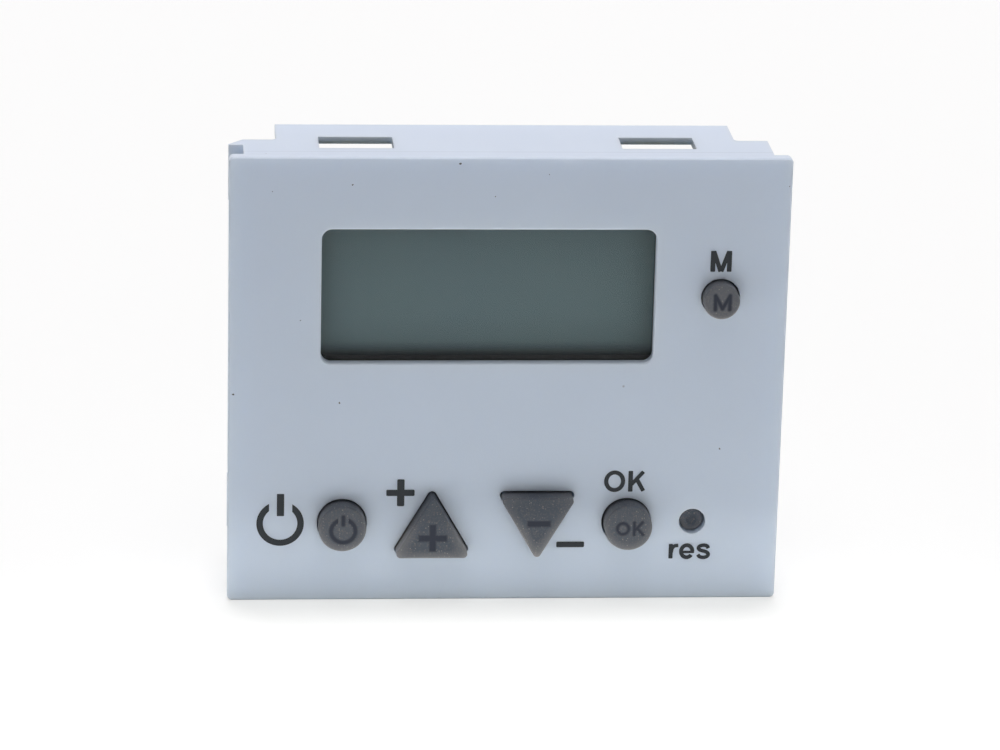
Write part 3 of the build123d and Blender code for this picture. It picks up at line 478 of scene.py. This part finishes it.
# Display support: a ribbed plate moulded from natural white plastic. It lies between the board
# and the display, and carries the glass.
support_plastic = grained(
    "support_plastic",
    (0.75, 0.76, 0.76),
    0.5,
    ((0.7, 0.71, 0.71), (0.8, 0.81, 0.8)),
    (6000.0, 150.0),
    0.00001,
)
dress("lcd_support", support_plastic)

# Contact strips: bars of silicone rubber, in thin layers of black carbon rubber and pale plain
# rubber by turns. They are squeezed between the glass and the board's contacts.
contact_rubber, nodes, links, shader = finish("contact_rubber", (0.25, 0.27, 0.3), 0.7)
place = nodes.new("ShaderNodeTexCoord")
layers = nodes.new("ShaderNodeTexWave")
layers.inputs["Scale"].default_value = 1200.0
links.new(place.outputs["Object"], layers.inputs["Vector"])
tone = two_tones(nodes, links, layers.outputs["Fac"], (0.02, 0.02, 0.02), (0.45, 0.42, 0.38))
links.new(tone, shader.inputs["Base Color"])
dress("upper_contact_strip", contact_rubber)
dress("lower_contact_strip", contact_rubber)

# Printed signs: one coat of dark grey ink, pad-printed on the face beside the key that each
# one explains. Strokes that cross lie a hair apart, so that none flickers through another.
INK_LIFT, STROKE_LIFT = 0.01, 0.001


def smooth_path(points, steps=12):
    """Catmull-Rom curve through the points: each span is the usual cubic of the four points round it."""
    p = np.asarray(points, float)
    p = np.vstack([2 * p[0] - p[1], p, 2 * p[-1] - p[-2]])
    t = np.linspace(0, 1, steps, endpoint=False)[None, :, None]
    a, b, c, d = (p[k : len(p) - 3 + k][:, None, :] for k in range(4))
    curve = 0.5 * (2 * b + (c - a) * t + (2 * a - 5 * b + 4 * c - d) * t**2 + (3 * b - a - 3 * c + d) * t**3)
    return np.vstack([curve.reshape(-1, 2), p[-2]])


def arc_path(centre, across, high, start, end, count):
    """Points of an ellipse's arc between two angles in degrees, measured from the right, upwards."""
    angle = np.radians(np.linspace(start, end, count))
    return np.column_stack([centre[0] + across * np.cos(angle), centre[1] + high * np.sin(angle)])


def ink_stroke(path, width, corner=0.07, closed=False):
    """Left and right edge of a stroke along a path: the path moved sideways by half the width, which shrinks
    near each end along a quarter circle of radius corner, so that the corners of the ink are round."""
    path = np.asarray(path, float)
    run = np.concatenate([[0], np.cumsum(np.hypot(*np.diff(path, axis=0).T))])
    if closed:
        at = np.linspace(0, run[-1], 97)
        half = np.full(len(at), width / 2)
    else:
        turn = corner * (1 - np.cos(np.linspace(0, np.pi / 2, 6)))
        at = np.concatenate([turn, np.linspace(corner, run[-1] - corner, 60)[1:-1], run[-1] - turn[::-1]])
        short = np.minimum(np.minimum(at, run[-1] - at), corner)
        half = width / 2 - corner + np.sqrt(np.maximum(corner**2 - (corner - short) ** 2, 0))
    line = np.column_stack([np.interp(at, run, path[:, k]) for k in (0, 1)])
    ahead = np.gradient(line, axis=0)
    if closed:
        ahead[[0, -1]] = line[1] - line[-2]
    ahead /= np.linalg.norm(ahead, axis=1, keepdims=True)
    side = np.column_stack([-ahead[:, 1], ahead[:, 0]]) * half[:, None]
    return line + side, line - side


def ink_sign(name, strokes):
    """One printed sign: each stroke is a strip of quads between its two edges, on the face and facing out."""
    places, faces, first = [], [], 0
    for number, (left, right) in enumerate(strokes):
        count = len(left)
        both = np.vstack([left, right])
        depth = np.full(len(both), FACE - INK_LIFT - STROKE_LIFT * number)
        places.append(np.column_stack([both[:, 0], depth, both[:, 1]]) * MM)
        k = np.arange(count - 1)
        faces.append(np.column_stack([k, k + count, k + count + 1, k + 1]) + first)
        first += 2 * count
    mesh = bpy.data.meshes.new(name)
    mesh.from_pydata(np.vstack(places).tolist(), [], np.vstack(faces).tolist())
    mesh.validate()
    sign = bpy.data.objects.new(name, mesh)
    scene.collection.objects.link(sign)
    mesh.materials.append(sign_ink)
    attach(sign, "housing")


sign_ink = grained(
    "sign_ink",
    (0.012, 0.016, 0.022),
    0.55,
    ((0.009, 0.013, 0.018), (0.016, 0.02, 0.026)),
    (9000.0, 900.0),
    0.000008,
    Specular_IOR_Level=0.35,
)

# Middles, widths and heights in mm on the face, x and z; angles in degrees
power_centre, power_outer, power_inner = (-21.87, -14.52), 2.31, 1.68
ring_edges = (
    arc_path(power_centre, power_inner, power_inner, 45.9, -230.0, 120),
    arc_path(power_centre, power_outer, power_outer, 59.6, -242.1, 120),
)
ink_sign(
    "sign_power",
    [ring_edges, ink_stroke([(-21.845, -13.75), (-21.845, -11.45)], 0.71, 0.05)],
)
ink_sign(
    "sign_plus",
    [
        ink_stroke([(-11.55, -11.385), (-8.79, -11.385)], 0.65, 0.12),
        ink_stroke([(-10.14, -12.77), (-10.14, -9.99)], 0.72, 0.12),
    ],
)
ink_sign("sign_minus", [ink_stroke([(5.23, -16.815), (7.97, -16.815)], 0.59, 0.12)])
ink_sign(
    "sign_ok",
    [
        ink_stroke(arc_path((10.78, -10.255), 0.825, 0.91, 0, 360, 97), 0.42, closed=True),
        ink_stroke([(12.345, -11.345), (12.345, -9.185)], 0.45),
        ink_stroke([(12.42, -10.62), (13.6, -9.27)], 0.39),
        ink_stroke([(12.93, -10.0), (13.63, -11.27)], 0.41),
    ],
)
ink_sign(
    "sign_m",
    [
        ink_stroke([(19.605, 11.15), (19.605, 13.25)], 0.46),
        ink_stroke([(21.195, 11.15), (21.195, 13.25)], 0.46),
        ink_stroke([(19.66, 13.22), (20.37, 11.17)], 0.43),
        ink_stroke([(21.14, 13.22), (20.43, 11.17)], 0.43),
    ],
)
ink_sign(
    "sign_res",
    [
        ink_stroke([(16.555, -18.34), (16.555, -16.81)], 0.41),
        ink_stroke(
            smooth_path([(16.6, -17.75), (16.68, -17.3), (16.92, -17.03), (17.29, -16.97)]), 0.37, 0.05
        ),
        ink_stroke(arc_path((18.14, -17.59), 0.555, 0.635, 0, 324, 80), 0.4, 0.05),
        ink_stroke([(17.62, -17.66), (18.88, -17.66)], 0.26, 0.05),
        ink_stroke(
            smooth_path(
                [
                    (20.27, -17.29),
                    (20.14, -17.04),
                    (19.8, -16.96),
                    (19.43, -17.05),
                    (19.29, -17.26),
                    (19.46, -17.46),
                    (19.8, -17.57),
                    (20.13, -17.69),
                    (20.28, -17.92),
                    (20.14, -18.15),
                    (19.8, -18.24),
                    (19.42, -18.15),
                    (19.25, -17.93),
                ]
            ),
            0.38,
            0.06,
        ),
    ],
)

# Keys: grey silicone rubber, moulded with a crowned finger face and soft edges. Each bears its
# sign as a shallow dark recess, and behind the cover a collar that keeps it from coming out.
# The same rubber runs on as a thin web, which carries the key and springs it back.

# Holes, in mm: how far their sides are from the middle
ROUND_REACH, MENU_REACH, RESET_REACH, TRIANGLE_SIDE = 2.45, 1.88, 1.3, 7.94
TRIANGLE_FLAT = TRIANGLE_SIDE / (2 * math.sqrt(3))
# Finger end, in mm: play in the hole, radius of the soft edge, radius of a triangle's corners at
# the face and how much less it is behind the edge, and how far the face's rim falls back
KEY_PLAY = 0.13
KEY_EDGE, RESET_EDGE = 0.22, 0.3
FACE_CORNER, CORNER_SHRINK = 0.62, 0.24
KEY_CROWN = 0.1
# The finger end, in front of y = FINGER_END, has settled down in its hole by a part of its play
KEY_SETTLE, FINGER_END = 0.09, -13.0
# Recesses, in mm: the reset key's dimple for a pen, and the marks with their soft edges
DIMPLE_DEPTH, DIMPLE_REACH = 0.3, 0.5
MARK_DEPTH, MARK_BLUR = 0.05, 0.2
NO_MARK = 9.0
# Stem, collar and foot, front to back, in mm: growth of the outline against the hole, y, and
# radius of a triangle's corners
COLLAR_GROWTH, COLLAR_BACK = 0.35, -11.1
STEM = np.array(
    [
        (-KEY_PLAY, -14.0, 0.3),
        (-0.15, -11.8, 0.3),
        (COLLAR_GROWTH, -11.8, 0.8),
        (COLLAR_GROWTH, COLLAR_BACK, 0.8),
        (-0.25, COLLAR_BACK, 0.25),
        (-0.25, -10.0, 0.25),
    ]
)
# Web: how far it spreads in mm, bend as a share of that, thickness, a triangle's corners and y
# of its foot
WEB_REACH, WEB_BEND, WEB_THICK, WEB_CORNER, WEB_FOOT = 0.8, 0.11, 0.34, 0.45, -10.1
# Painted light on the rim, palest low down: how many rings of the face and of the edge and
# stem it covers, and its mean and swing round the key
FACE_LIT_RINGS, EDGE_LIT_RINGS = 16, 11
LIT_RIM_MEAN, LIT_RIM_SWING = 0.46, 0.44
# Mesh: how much closer the points of a triangle's outline come together at its corners, and the
# angle from which an edge is drawn sharp
CORNER_CROWDING, SHARP_FROM = 0.82, math.radians(50)


def outline_reach(angle, flat, corner):
    """How far a key's outline is from its middle at each angle. The outline is a triangle whose sides are
    flat away from the middle, with corners of radius corner: along a side the reach is flat divided by the
    cosine of the angle to the side's normal, and at a corner it is the far root of the corner's circle. A
    round key has corner equal to flat."""
    to_normal = np.abs((angle + np.pi / 3) % (2 * np.pi / 3) - np.pi / 3)
    corner_away = 2 * (flat - corner)
    to_corner = np.pi / 3 - to_normal
    inside_root = np.maximum(corner**2 - (corner_away * np.sin(to_corner)) ** 2, 0)
    rounded = corner_away * np.cos(to_corner) + np.sqrt(inside_root)
    on_side = flat * np.tan(to_normal) < math.sqrt(3) * (flat - corner)
    return np.where(on_side, flat / np.cos(to_normal), rounded)


def outline_angles(is_round, count=252):
    """Angles round a key, even on a round one and crowded towards the corners of a triangle."""
    if is_round:
        return np.linspace(0, 2 * np.pi, count, endpoint=False)
    s = np.linspace(-1, 1, count // 3, endpoint=False)
    third = np.pi / 3 * (s + CORNER_CROWDING * np.sin(np.pi * s) / np.pi)
    return np.concatenate([third, third + 2 * np.pi / 3, third + 4 * np.pi / 3])


def ring_stack(name, rings, front_middle=None, back_middle=None):
    """Mesh from closed rings, front to back, one after the other: quads join each to the next, and a fan
    of triangles closes an end on its middle point. Without middles the last ring joins the first, as on a
    tyre."""
    rows, count, _ = rings.shape
    j = np.arange(count)
    j_next = (j + 1) % count
    closed = front_middle is None
    faces = []
    for row in range(rows if closed else rows - 1):
        below = (row + 1) % rows
        faces += np.column_stack(
            [row * count + j, below * count + j, below * count + j_next, row * count + j_next]
        ).tolist()
    places = rings.reshape(-1, 3)
    if not closed:
        places = np.vstack([places, front_middle, back_middle])
        front, back = rows * count, rows * count + 1
        faces += np.column_stack([np.full(count, front), j, j_next]).tolist()
        last = (rows - 1) * count
        faces += np.column_stack([np.full(count, back), last + j_next, last + j]).tolist()
    mesh = bpy.data.meshes.new(name)
    mesh.from_pydata((places * MM).tolist(), [], faces)
    mesh.polygons.foreach_set("use_smooth", np.ones(len(faces), bool))
    mesh.set_sharp_from_angle(angle=SHARP_FROM)
    piece = bpy.data.objects.new(name, mesh)
    scene.collection.objects.link(piece)
    return piece


# Marks, in mm on the face: what is taken off a distance to a line is half the line's width
def line_gap(x, z, start, end):
    """Distance from each point to a straight line between two points."""
    run = np.subtract(end, start)
    t = np.clip(((x - start[0]) * run[0] + (z - start[1]) * run[1]) / (run @ run), 0, 1)
    return np.hypot(x - start[0] - t * run[0], z - start[1] - t * run[1])


def ring_gap(x, z, centre, across, high):
    """Distance from each point to an ellipse's line, near enough for a ring that is almost round."""
    reach = np.hypot((x - centre[0]) / across, (z - centre[1]) / high)
    return np.abs(reach - 1) * min(across, high)


def bar_gap(x, z, middle, half_wide, half_high):
    """Distance out of a bar with square ends, below 0 inside it."""
    return np.maximum(np.abs(x - middle[0]) - half_wide, np.abs(z - middle[1]) - half_high)


def power_mark(x, z):
    """Ring with a gap at its top, and the bar that stands in the gap."""
    middle_x, middle_z = -15.78, -14.7
    ring = ring_gap(x, z, (middle_x, middle_z), 1.18, 1.18)
    ring = np.where((np.abs(x - middle_x) < 0.5) & (z > middle_z), NO_MARK, ring)
    bar = line_gap(x, z, (middle_x, -13.25), (middle_x, -14.03))
    return np.minimum(ring - 0.22, bar - 0.2)


def plus_mark(x, z):
    """Two bars that cross."""
    return np.minimum(
        bar_gap(x, z, (-7.04, -15.49), 1.38, 0.32), bar_gap(x, z, (-7.04, -15.47), 0.33, 1.4)
    )


def minus_mark(x, z):
    """One bar."""
    return bar_gap(x, z, (3.32, -14.02), 1.15, 0.31)


def letter_gap(x, z, lines):
    """Distance to the nearest of a letter's straight lines."""
    return np.min([line_gap(x, z, start, end) for start, end in lines], axis=0)


def ok_mark(x, z):
    """Letters O and K."""
    o = ring_gap(x, z, (11.57, -14.56), 0.55, 0.56)
    k = letter_gap(
        x,
        z,
        (
            ((12.69, -13.93), (12.69, -15.19)),
            ((12.75, -14.73), (13.47, -13.93)),
            ((12.97, -14.53), (13.55, -15.19)),
        ),
    )
    return np.minimum(o, k) - 0.16


def menu_mark(x, z):
    """Letter M."""
    m = letter_gap(
        x,
        z,
        (
            ((19.82, 7.74), (19.82, 9.14)),
            ((21.22, 7.74), (21.22, 9.14)),
            ((19.82, 9.14), (20.52, 7.84)),
            ((21.22, 9.14), (20.52, 7.84)),
        ),
    )
    return m - 0.2


def bare_mark(x, z):
    """No sign."""
    return np.full(x.shape, NO_MARK)


key_silicone, nodes, links, shader = finish(
    "key_silicone", (0.067, 0.077, 0.096), 0.55, Specular_IOR_Level=0.35, Subsurface_Weight=0.15
)
shader.inputs["Subsurface Radius"].default_value = (0.0006, 0.0005, 0.0005)
shader.inputs["Subsurface Scale"].default_value = 1.0
grain = add_group(nodes, grain_group, Grain_per_metre=7000.0, Drift_per_metre=700.0)
tone = two_tones(nodes, links, grain.outputs["Drift"], (0.046, 0.06, 0.086), (0.068, 0.08, 0.1))
mottle = fade(nodes, links, grain.outputs["Height"], 0.46, 0.74)
tone = two_tones(nodes, links, mottle, tone, (0.115, 0.112, 0.114))
# Painted light: a paler rim, palest on the lower side where light from below falls; some keys are also paler
# all over
rim = nodes.new("ShaderNodeAttribute")
rim.attribute_name = "rim"
tone = two_tones(nodes, links, rim.outputs["Fac"], tone, (0.36, 0.35, 0.345))
specks = add_group(nodes, speck_group, Cells_per_metre=3800.0, Speck_size=0.27, Share_bare=0.4)
tone = two_tones(nodes, links, specks.outputs["Mask"], tone, (0.36, 0.335, 0.31))
mark = nodes.new("ShaderNodeAttribute")
mark.attribute_name = "mark"
tone = two_tones(nodes, links, mark.outputs["Fac"], tone, (0.012, 0.017, 0.033))
links.new(tone, shader.inputs["Base Color"])
bump_from(nodes, links, shader, grain.outputs["Height"], 0.00002)

# name: round or not, turn of a side's normal, reach of the hole's sides, sign, how pale all over
KEYS = {
    "power": (True, 0.0, ROUND_REACH, power_mark, 0.07),
    "plus": (False, -90.0, TRIANGLE_FLAT, plus_mark, 0.0),
    "minus": (False, 90.0, TRIANGLE_FLAT, minus_mark, 0.0),
    "ok": (True, 0.0, ROUND_REACH, ok_mark, 0.05),
    "menu": (True, 0.0, MENU_REACH, menu_mark, 0.17),
    "reset": (True, 0.0, RESET_REACH, bare_mark, 0.0),
}


def key_place(key):
    """Middle of a key in x and z, and y of its face. A round key's middle is its box's own, and a
    triangle's is the point that is as far from each side, a third of the height above its base."""
    is_round, turn, flat = KEYS[key][:3]
    low, high = (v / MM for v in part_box("key_" + key))
    if is_round:
        return (low.x + high.x) / 2, (low.z + high.z) / 2, low.y
    grown = flat + COLLAR_GROWTH
    return (low.x + high.x) / 2, low.z + grown if turn < 0 else high.z - grown, low.y


for key, (is_round, turn, flat, sign, pale) in KEYS.items():
    middle_x, middle_z, face = key_place(key)
    edge = RESET_EDGE if key == "reset" else KEY_EDGE
    dimple = DIMPLE_DEPTH if key == "reset" else 0.0
    angle = outline_angles(is_round)
    # Rings of the crowned face from its middle, then of its edge, a quarter circle, then of the stem
    inner = np.linspace(0, 1, 46)[1:-1]
    bend = np.linspace(0, np.pi / 2, 10)
    growth = np.concatenate([edge * np.sin(bend) - edge - KEY_PLAY, STEM[:, 0]])
    flats = np.concatenate([inner * (flat + growth[0]), flat + growth])
    edge_corner = FACE_CORNER - CORNER_SHRINK * np.sin(bend)
    corners = flats
    if not is_round:
        corners = np.concatenate([inner * FACE_CORNER, edge_corner, STEM[:, 2]])
    edge_depth = face + KEY_CROWN + edge * (1 - np.cos(bend))
    depths = np.concatenate([face + KEY_CROWN * inner**2, edge_depth, STEM[:, 1]])
    reach = outline_reach(angle[None, :], flats[:, None], np.minimum(corners, flats)[:, None])
    way = angle + math.radians(turn)
    sunk = np.where(depths < FINGER_END, KEY_SETTLE, 0.0)[:, None]
    x = middle_x + reach * np.cos(way)
    z = middle_z + reach * np.sin(way) - sunk
    y = np.repeat(depths[:, None], len(angle), axis=1)
    marked = np.clip(0.5 - sign(x, z) / MARK_BLUR, 0, 1)
    marked[len(inner) :] = 0
    y = y + MARK_DEPTH * marked
    y[: len(inner)] += dimple * np.clip(1 - (reach[: len(inner)] / DIMPLE_REACH) ** 2, 0, 1)
    at_middle = sign(np.array([middle_x]), np.array([middle_z]))[0]
    middle_mark = float(np.clip(0.5 - at_middle / MARK_BLUR, 0, 1))
    piece = ring_stack(
        "silicone_key_" + key,
        np.stack([x, y, z], axis=-1),
        [[middle_x, face + dimple + MARK_DEPTH * middle_mark, middle_z - KEY_SETTLE]],
        [[middle_x, STEM[-1, 1], middle_z]],
    )
    mesh = piece.data
    # Painted light from below: the lower rim is palest, and the upper one hardly paler
    around = np.zeros(x.shape)
    around[len(inner) : len(inner) + EDGE_LIT_RINGS] = np.linspace(0.32, 1, EDGE_LIT_RINGS)[:, None]
    around[len(inner) - FACE_LIT_RINGS : len(inner)] = np.linspace(0, 0.3, FACE_LIT_RINGS)[:, None]
    around = np.maximum(around * (LIT_RIM_MEAN - LIT_RIM_SWING * np.sin(way)), pale)
    for name, values, middle in (("mark", marked, middle_mark), ("rim", around, pale)):
        layer = mesh.attributes.new(name, "FLOAT", "POINT")
        every = np.concatenate([values.ravel(), [middle, 0.0]])
        layer.data.foreach_set("value", every.astype(np.float32))
    mesh.materials.append(key_silicone)
    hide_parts("key_" + key)
    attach(piece, key + "_button")

    # Web: a thin cone of the same rubber, bent like a flat S, out along its front and back inside
    s = np.linspace(0, 1, 14)
    outside = COLLAR_GROWTH + WEB_REACH * (s - WEB_BEND * np.sin(2 * np.pi * s))
    web_growth = np.concatenate([outside, outside[::-1] - WEB_THICK])
    web_depth = np.concatenate([COLLAR_BACK + s, WEB_FOOT - s])
    web_flat = flat + web_growth
    web_corner = web_flat if is_round else WEB_CORNER + web_growth
    reach = outline_reach(angle[None, ::2], web_flat[:, None], web_corner[:, None])
    x = middle_x + reach * np.cos(way[::2])
    z = middle_z + reach * np.sin(way[::2])
    y = np.repeat(web_depth[:, None], x.shape[1], axis=1)
    web = ring_stack("silicone_web_" + key, np.stack([x, y, z], axis=-1))
    web.data.materials.append(key_silicone)
    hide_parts("web_" + key)
    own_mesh(web)
    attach(web, "housing")

dress("keypad_mat", key_silicone)

# Contact pills: matt black pucks of carbon-filled rubber, one moulded to the back of each key.
# A pressed key lays its pill on the bare contacts of the board.
carbon_rubber = grained(
    "carbon_rubber",
    (0.012, 0.012, 0.012),
    0.75,
    ((0.008, 0.008, 0.008), (0.02, 0.02, 0.02)),
    (20000.0, 2000.0),
    0.00001,
)
for key in KEYS:
    dress("pill_" + key, carbon_rubber)

# Circuit board: glass-fibre laminate with green solder resist over copper tracks, clamped
# between the two covers. Its sawn edge shows the bare yellowish laminate.
board_laminate, nodes, links, shader = finish("board_laminate", (0.02, 0.13, 0.06), 0.3)
place = nodes.new("ShaderNodeTexCoord")
tracks = nodes.new("ShaderNodeTexBrick")
tracks.inputs["Scale"].default_value = 260.0
tracks.inputs["Mortar Size"].default_value = 0.06
tracks.inputs["Color1"].default_value = (0.0, 0.0, 0.0, 1.0)
tracks.inputs["Color2"].default_value = (0.0, 0.0, 0.0, 1.0)
tracks.inputs["Mortar"].default_value = (1.0, 1.0, 1.0, 1.0)
lay_flat = nodes.new("ShaderNodeMapping")
lay_flat.inputs["Rotation"].default_value = (math.radians(90), 0.0, 0.0)
links.new(place.outputs["Object"], lay_flat.inputs["Vector"])
links.new(lay_flat.outputs[0], tracks.inputs["Vector"])
track_mask = nodes.new("ShaderNodeSeparateColor")
links.new(tracks.outputs["Color"], track_mask.inputs[0])
tone = two_tones(nodes, links, track_mask.outputs[0], (0.012, 0.09, 0.045), (0.03, 0.17, 0.075))
facing = nodes.new("ShaderNodeSeparateXYZ")
links.new(place.outputs["Normal"], facing.inputs[0])
on_flat = worked_out(nodes, links, "ABSOLUTE", facing.outputs["Y"])
tone = two_tones(nodes, links, on_flat, (0.42, 0.4, 0.2), tone)
links.new(tone, shader.inputs["Base Color"])
bump_from(nodes, links, shader, track_mask.outputs[0], 0.00003)
dress("circuit_board", board_laminate)

# Plug: a black moulded insulator with ten gilt pins pressed through it. The pins are soldered
# to the board and reach out of the rear cover.
plug_plastic = grained(
    "plug_plastic",
    (0.02, 0.02, 0.02),
    0.45,
    ((0.014, 0.014, 0.014), (0.03, 0.03, 0.03)),
    (9000.0, 500.0),
    0.00001,
)
dress("plug_block", plug_plastic)
pin_gilt, nodes, links, shader = finish("pin_gilt", (0.83, 0.65, 0.3), 0.25, Metallic=1.0)
grain = add_group(nodes, grain_group, Grain_per_metre=15000.0, Drift_per_metre=800.0)
tone = two_tones(nodes, links, grain.outputs["Drift"], (0.76, 0.57, 0.26), (0.88, 0.7, 0.36))
links.new(tone, shader.inputs["Base Color"])
rough = fade(nodes, links, grain.outputs["Height"], -0.3, 2.6)
links.new(rough, shader.inputs["Roughness"])
dress("plug_pins", pin_gilt)


# Parts on the back of the board: microcontroller in a black package with tinned legs, and
# crystal, backup cell with its clip, capacitor and ceramic chip parts, all soldered on.
def metal(name, dark, light, low_rough, high_rough, pitch):
    """A drawn or rolled metal: its colour drifts between two tones, and its roughness between two values
    with a grain, of which pitch says how many there are in a metre."""
    material, nodes, links, shader = finish(name, dark, low_rough, Metallic=1.0)
    grain = add_group(nodes, grain_group, Grain_per_metre=pitch, Drift_per_metre=pitch / 12)
    links.new(two_tones(nodes, links, grain.outputs["Drift"], dark, light), shader.inputs["Base Color"])
    step = nodes.new("ShaderNodeMapRange")
    step.inputs["To Min"].default_value = low_rough
    step.inputs["To Max"].default_value = high_rough
    links.new(grain.outputs["Height"], step.inputs["Value"])
    links.new(step.outputs[0], shader.inputs["Roughness"])
    return material


# Microcontroller, in mm behind the board: where its tinned legs end and its black body begins
LEGS_END, BODY_BEGINS = 0.19, 0.21
board_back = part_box("microcontroller")[0].y
chip_plastic, nodes, links, shader = finish("chip_plastic", (0.018, 0.018, 0.02), 0.5)
y_here = object_axes(nodes, links)["Y"]
body = fade(nodes, links, y_here, board_back + LEGS_END * MM, board_back + BODY_BEGINS * MM)
grain = add_group(nodes, grain_group, Grain_per_metre=9000.0, Drift_per_metre=500.0)
tone = two_tones(nodes, links, grain.outputs["Drift"], (0.014, 0.014, 0.015), (0.028, 0.028, 0.03))
links.new(two_tones(nodes, links, body, (0.62, 0.62, 0.6), tone), shader.inputs["Base Color"])
links.new(worked_out(nodes, links, "SUBTRACT", 1.0, body), shader.inputs["Metallic"])
bump_from(nodes, links, shader, grain.outputs["Height"], 0.00001)
dress("microcontroller", chip_plastic)
dress("quartz_crystal", metal("crystal_can", (0.6, 0.6, 0.59), (0.72, 0.72, 0.7), 0.2, 0.45, 5000.0))
dress("backup_cell", metal("cell_steel", (0.62, 0.62, 0.61), (0.74, 0.74, 0.73), 0.15, 0.4, 3000.0))
dress("cell_clip", metal("clip_steel", (0.52, 0.52, 0.5), (0.66, 0.66, 0.64), 0.25, 0.5, 4000.0))
dress("capacitor", metal("capacitor_can", (0.66, 0.66, 0.68), (0.76, 0.76, 0.78), 0.25, 0.5, 4000.0))
chip_ceramic = grained(
    "chip_ceramic",
    (0.05, 0.045, 0.04),
    0.6,
    ((0.03, 0.027, 0.024), (0.16, 0.12, 0.085)),
    (9000.0, 1500.0),
    0.00001,
)
dress("chip_parts", chip_ceramic)

# Rear cover: a pale grey moulding, plain and lightly grained, with the shroud round the plug.
# It closes the board in from behind, and two screws draw it to the front cover.
rear_plastic = grained(
    "rear_plastic",
    (0.5, 0.53, 0.58),
    0.5,
    ((0.47, 0.5, 0.55), (0.53, 0.56, 0.61)),
    (5000.0, 80.0),
    0.00003,
)
dress("rear_cover", rear_plastic)

# Cover screws: two pan-head screws of zinc-plated steel, one at each side. The head has a cross
# recess, and the shank's rolled thread cuts its own way into the boss of the front cover.

# Head, in mm: reach, height, and reach of its crown
SCREW_HEAD, HEAD_TALL, CROWN_REACH = 1.3, 1.5, 0.8
# Thread, in mm: core, height of the ridge, its half width as a share of the pitch, and the pitch
CORE_REACH, RIDGE_HIGH, RIDGE_HALF, THREAD_PITCH = 0.56, 0.22, 0.24, 0.7
# Tip, in mm: length over which the ridge grows, and length and narrowing of the point
RIDGE_GROWS, POINT_LONG, POINT_SLIM = 1.4, 1.1, 0.36
# Cross recess, in mm: half length and half width of an arm, soft edge, depth near the middle
# and how much it falls off per mm outwards, and depth at the middle itself
CROSS_REACH, CROSS_HALF, CROSS_BLUR = 0.62, 0.15, 0.07
CROSS_DEEP, CROSS_SLOPE, CROSS_MIDDLE = 0.55, 0.4, 0.53
screw_low, screw_high = (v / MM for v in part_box("cover_screws"))


def screw_rings(turn, count=72):
    """Radius and depth of a screw's surface, tip first, one row of angles per ring. Shank: a core with a
    ridge that climbs one pitch a turn and fades out at the tip. Head: a pan's profile, sunk on its crown
    where a point is inside the cross, deepest in the middle."""
    angle = np.linspace(0, 2 * np.pi, count, endpoint=False)
    depth = np.linspace(screw_low.y, screw_high.y - HEAD_TALL, 190)[:, None]
    from_tip = depth - screw_low.y
    phase = (from_tip / THREAD_PITCH + angle / (2 * np.pi)) % 1 - 0.5
    ridge = np.clip(1 - np.abs(phase) / RIDGE_HALF, 0, 1) * np.clip(from_tip / RIDGE_GROWS, 0, 1)
    core = CORE_REACH - POINT_SLIM * np.clip(1 - from_tip / POINT_LONG, 0, 1) ** 1.5
    shank_reach = core + RIDGE_HIGH * ridge
    head_reach = np.array([0.6, 0.78, 1.24, 1.28, 1.3, 1.3, 1.28, 1.22, 1.12, 0.98, 0.84])
    head_depth = np.array([1.12, 1.0, 1.0, 0.98, 0.9, 0.5, 0.34, 0.22, 0.13, 0.07, 0.04])
    crown_reach = np.linspace(CROWN_REACH, 0.04, 30)
    crown_depth = 0.035 * (crown_reach / CROWN_REACH) ** 2
    reach = np.concatenate([head_reach, crown_reach])[:, None] + 0 * angle
    head = screw_high.y - np.concatenate([head_depth, crown_depth])[:, None] + 0 * angle
    across = np.abs(reach * np.cos(angle + turn))
    along = np.abs(reach * np.sin(angle + turn))
    cross = np.minimum(
        np.maximum(across - CROSS_REACH, along - CROSS_HALF),
        np.maximum(across - CROSS_HALF, along - CROSS_REACH),
    )
    arms = np.clip(0.5 - cross / CROSS_BLUR, 0, 1) * (reach < CROWN_REACH + 0.03)
    sunk = arms * (CROSS_DEEP - CROSS_SLOPE * reach)
    depths = np.vstack([depth + 0 * angle, head - sunk])
    return angle, np.vstack([shank_reach, reach]), depths


screw_zinc = metal("screw_zinc", (0.52, 0.53, 0.55), (0.68, 0.69, 0.7), 0.25, 0.5, 6000.0)
for name, middle_x, turn in (
    ("cover_screw_left", screw_low.x + SCREW_HEAD, 0.35),
    ("cover_screw_right", screw_high.x - SCREW_HEAD, -0.6),
):
    middle_z = (screw_low.z + screw_high.z) / 2
    angle, reach, depths = screw_rings(turn)
    screw = ring_stack(
        name,
        np.stack([middle_x + reach * np.cos(angle), depths, middle_z + reach * np.sin(angle)], axis=-1),
        [[middle_x, screw_low.y, middle_z]],
        [[middle_x, screw_high.y - CROSS_MIDDLE, middle_z]],
    )
    screw.data.materials.append(screw_zinc)
    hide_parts("cover_screws")
    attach(screw, "housing")
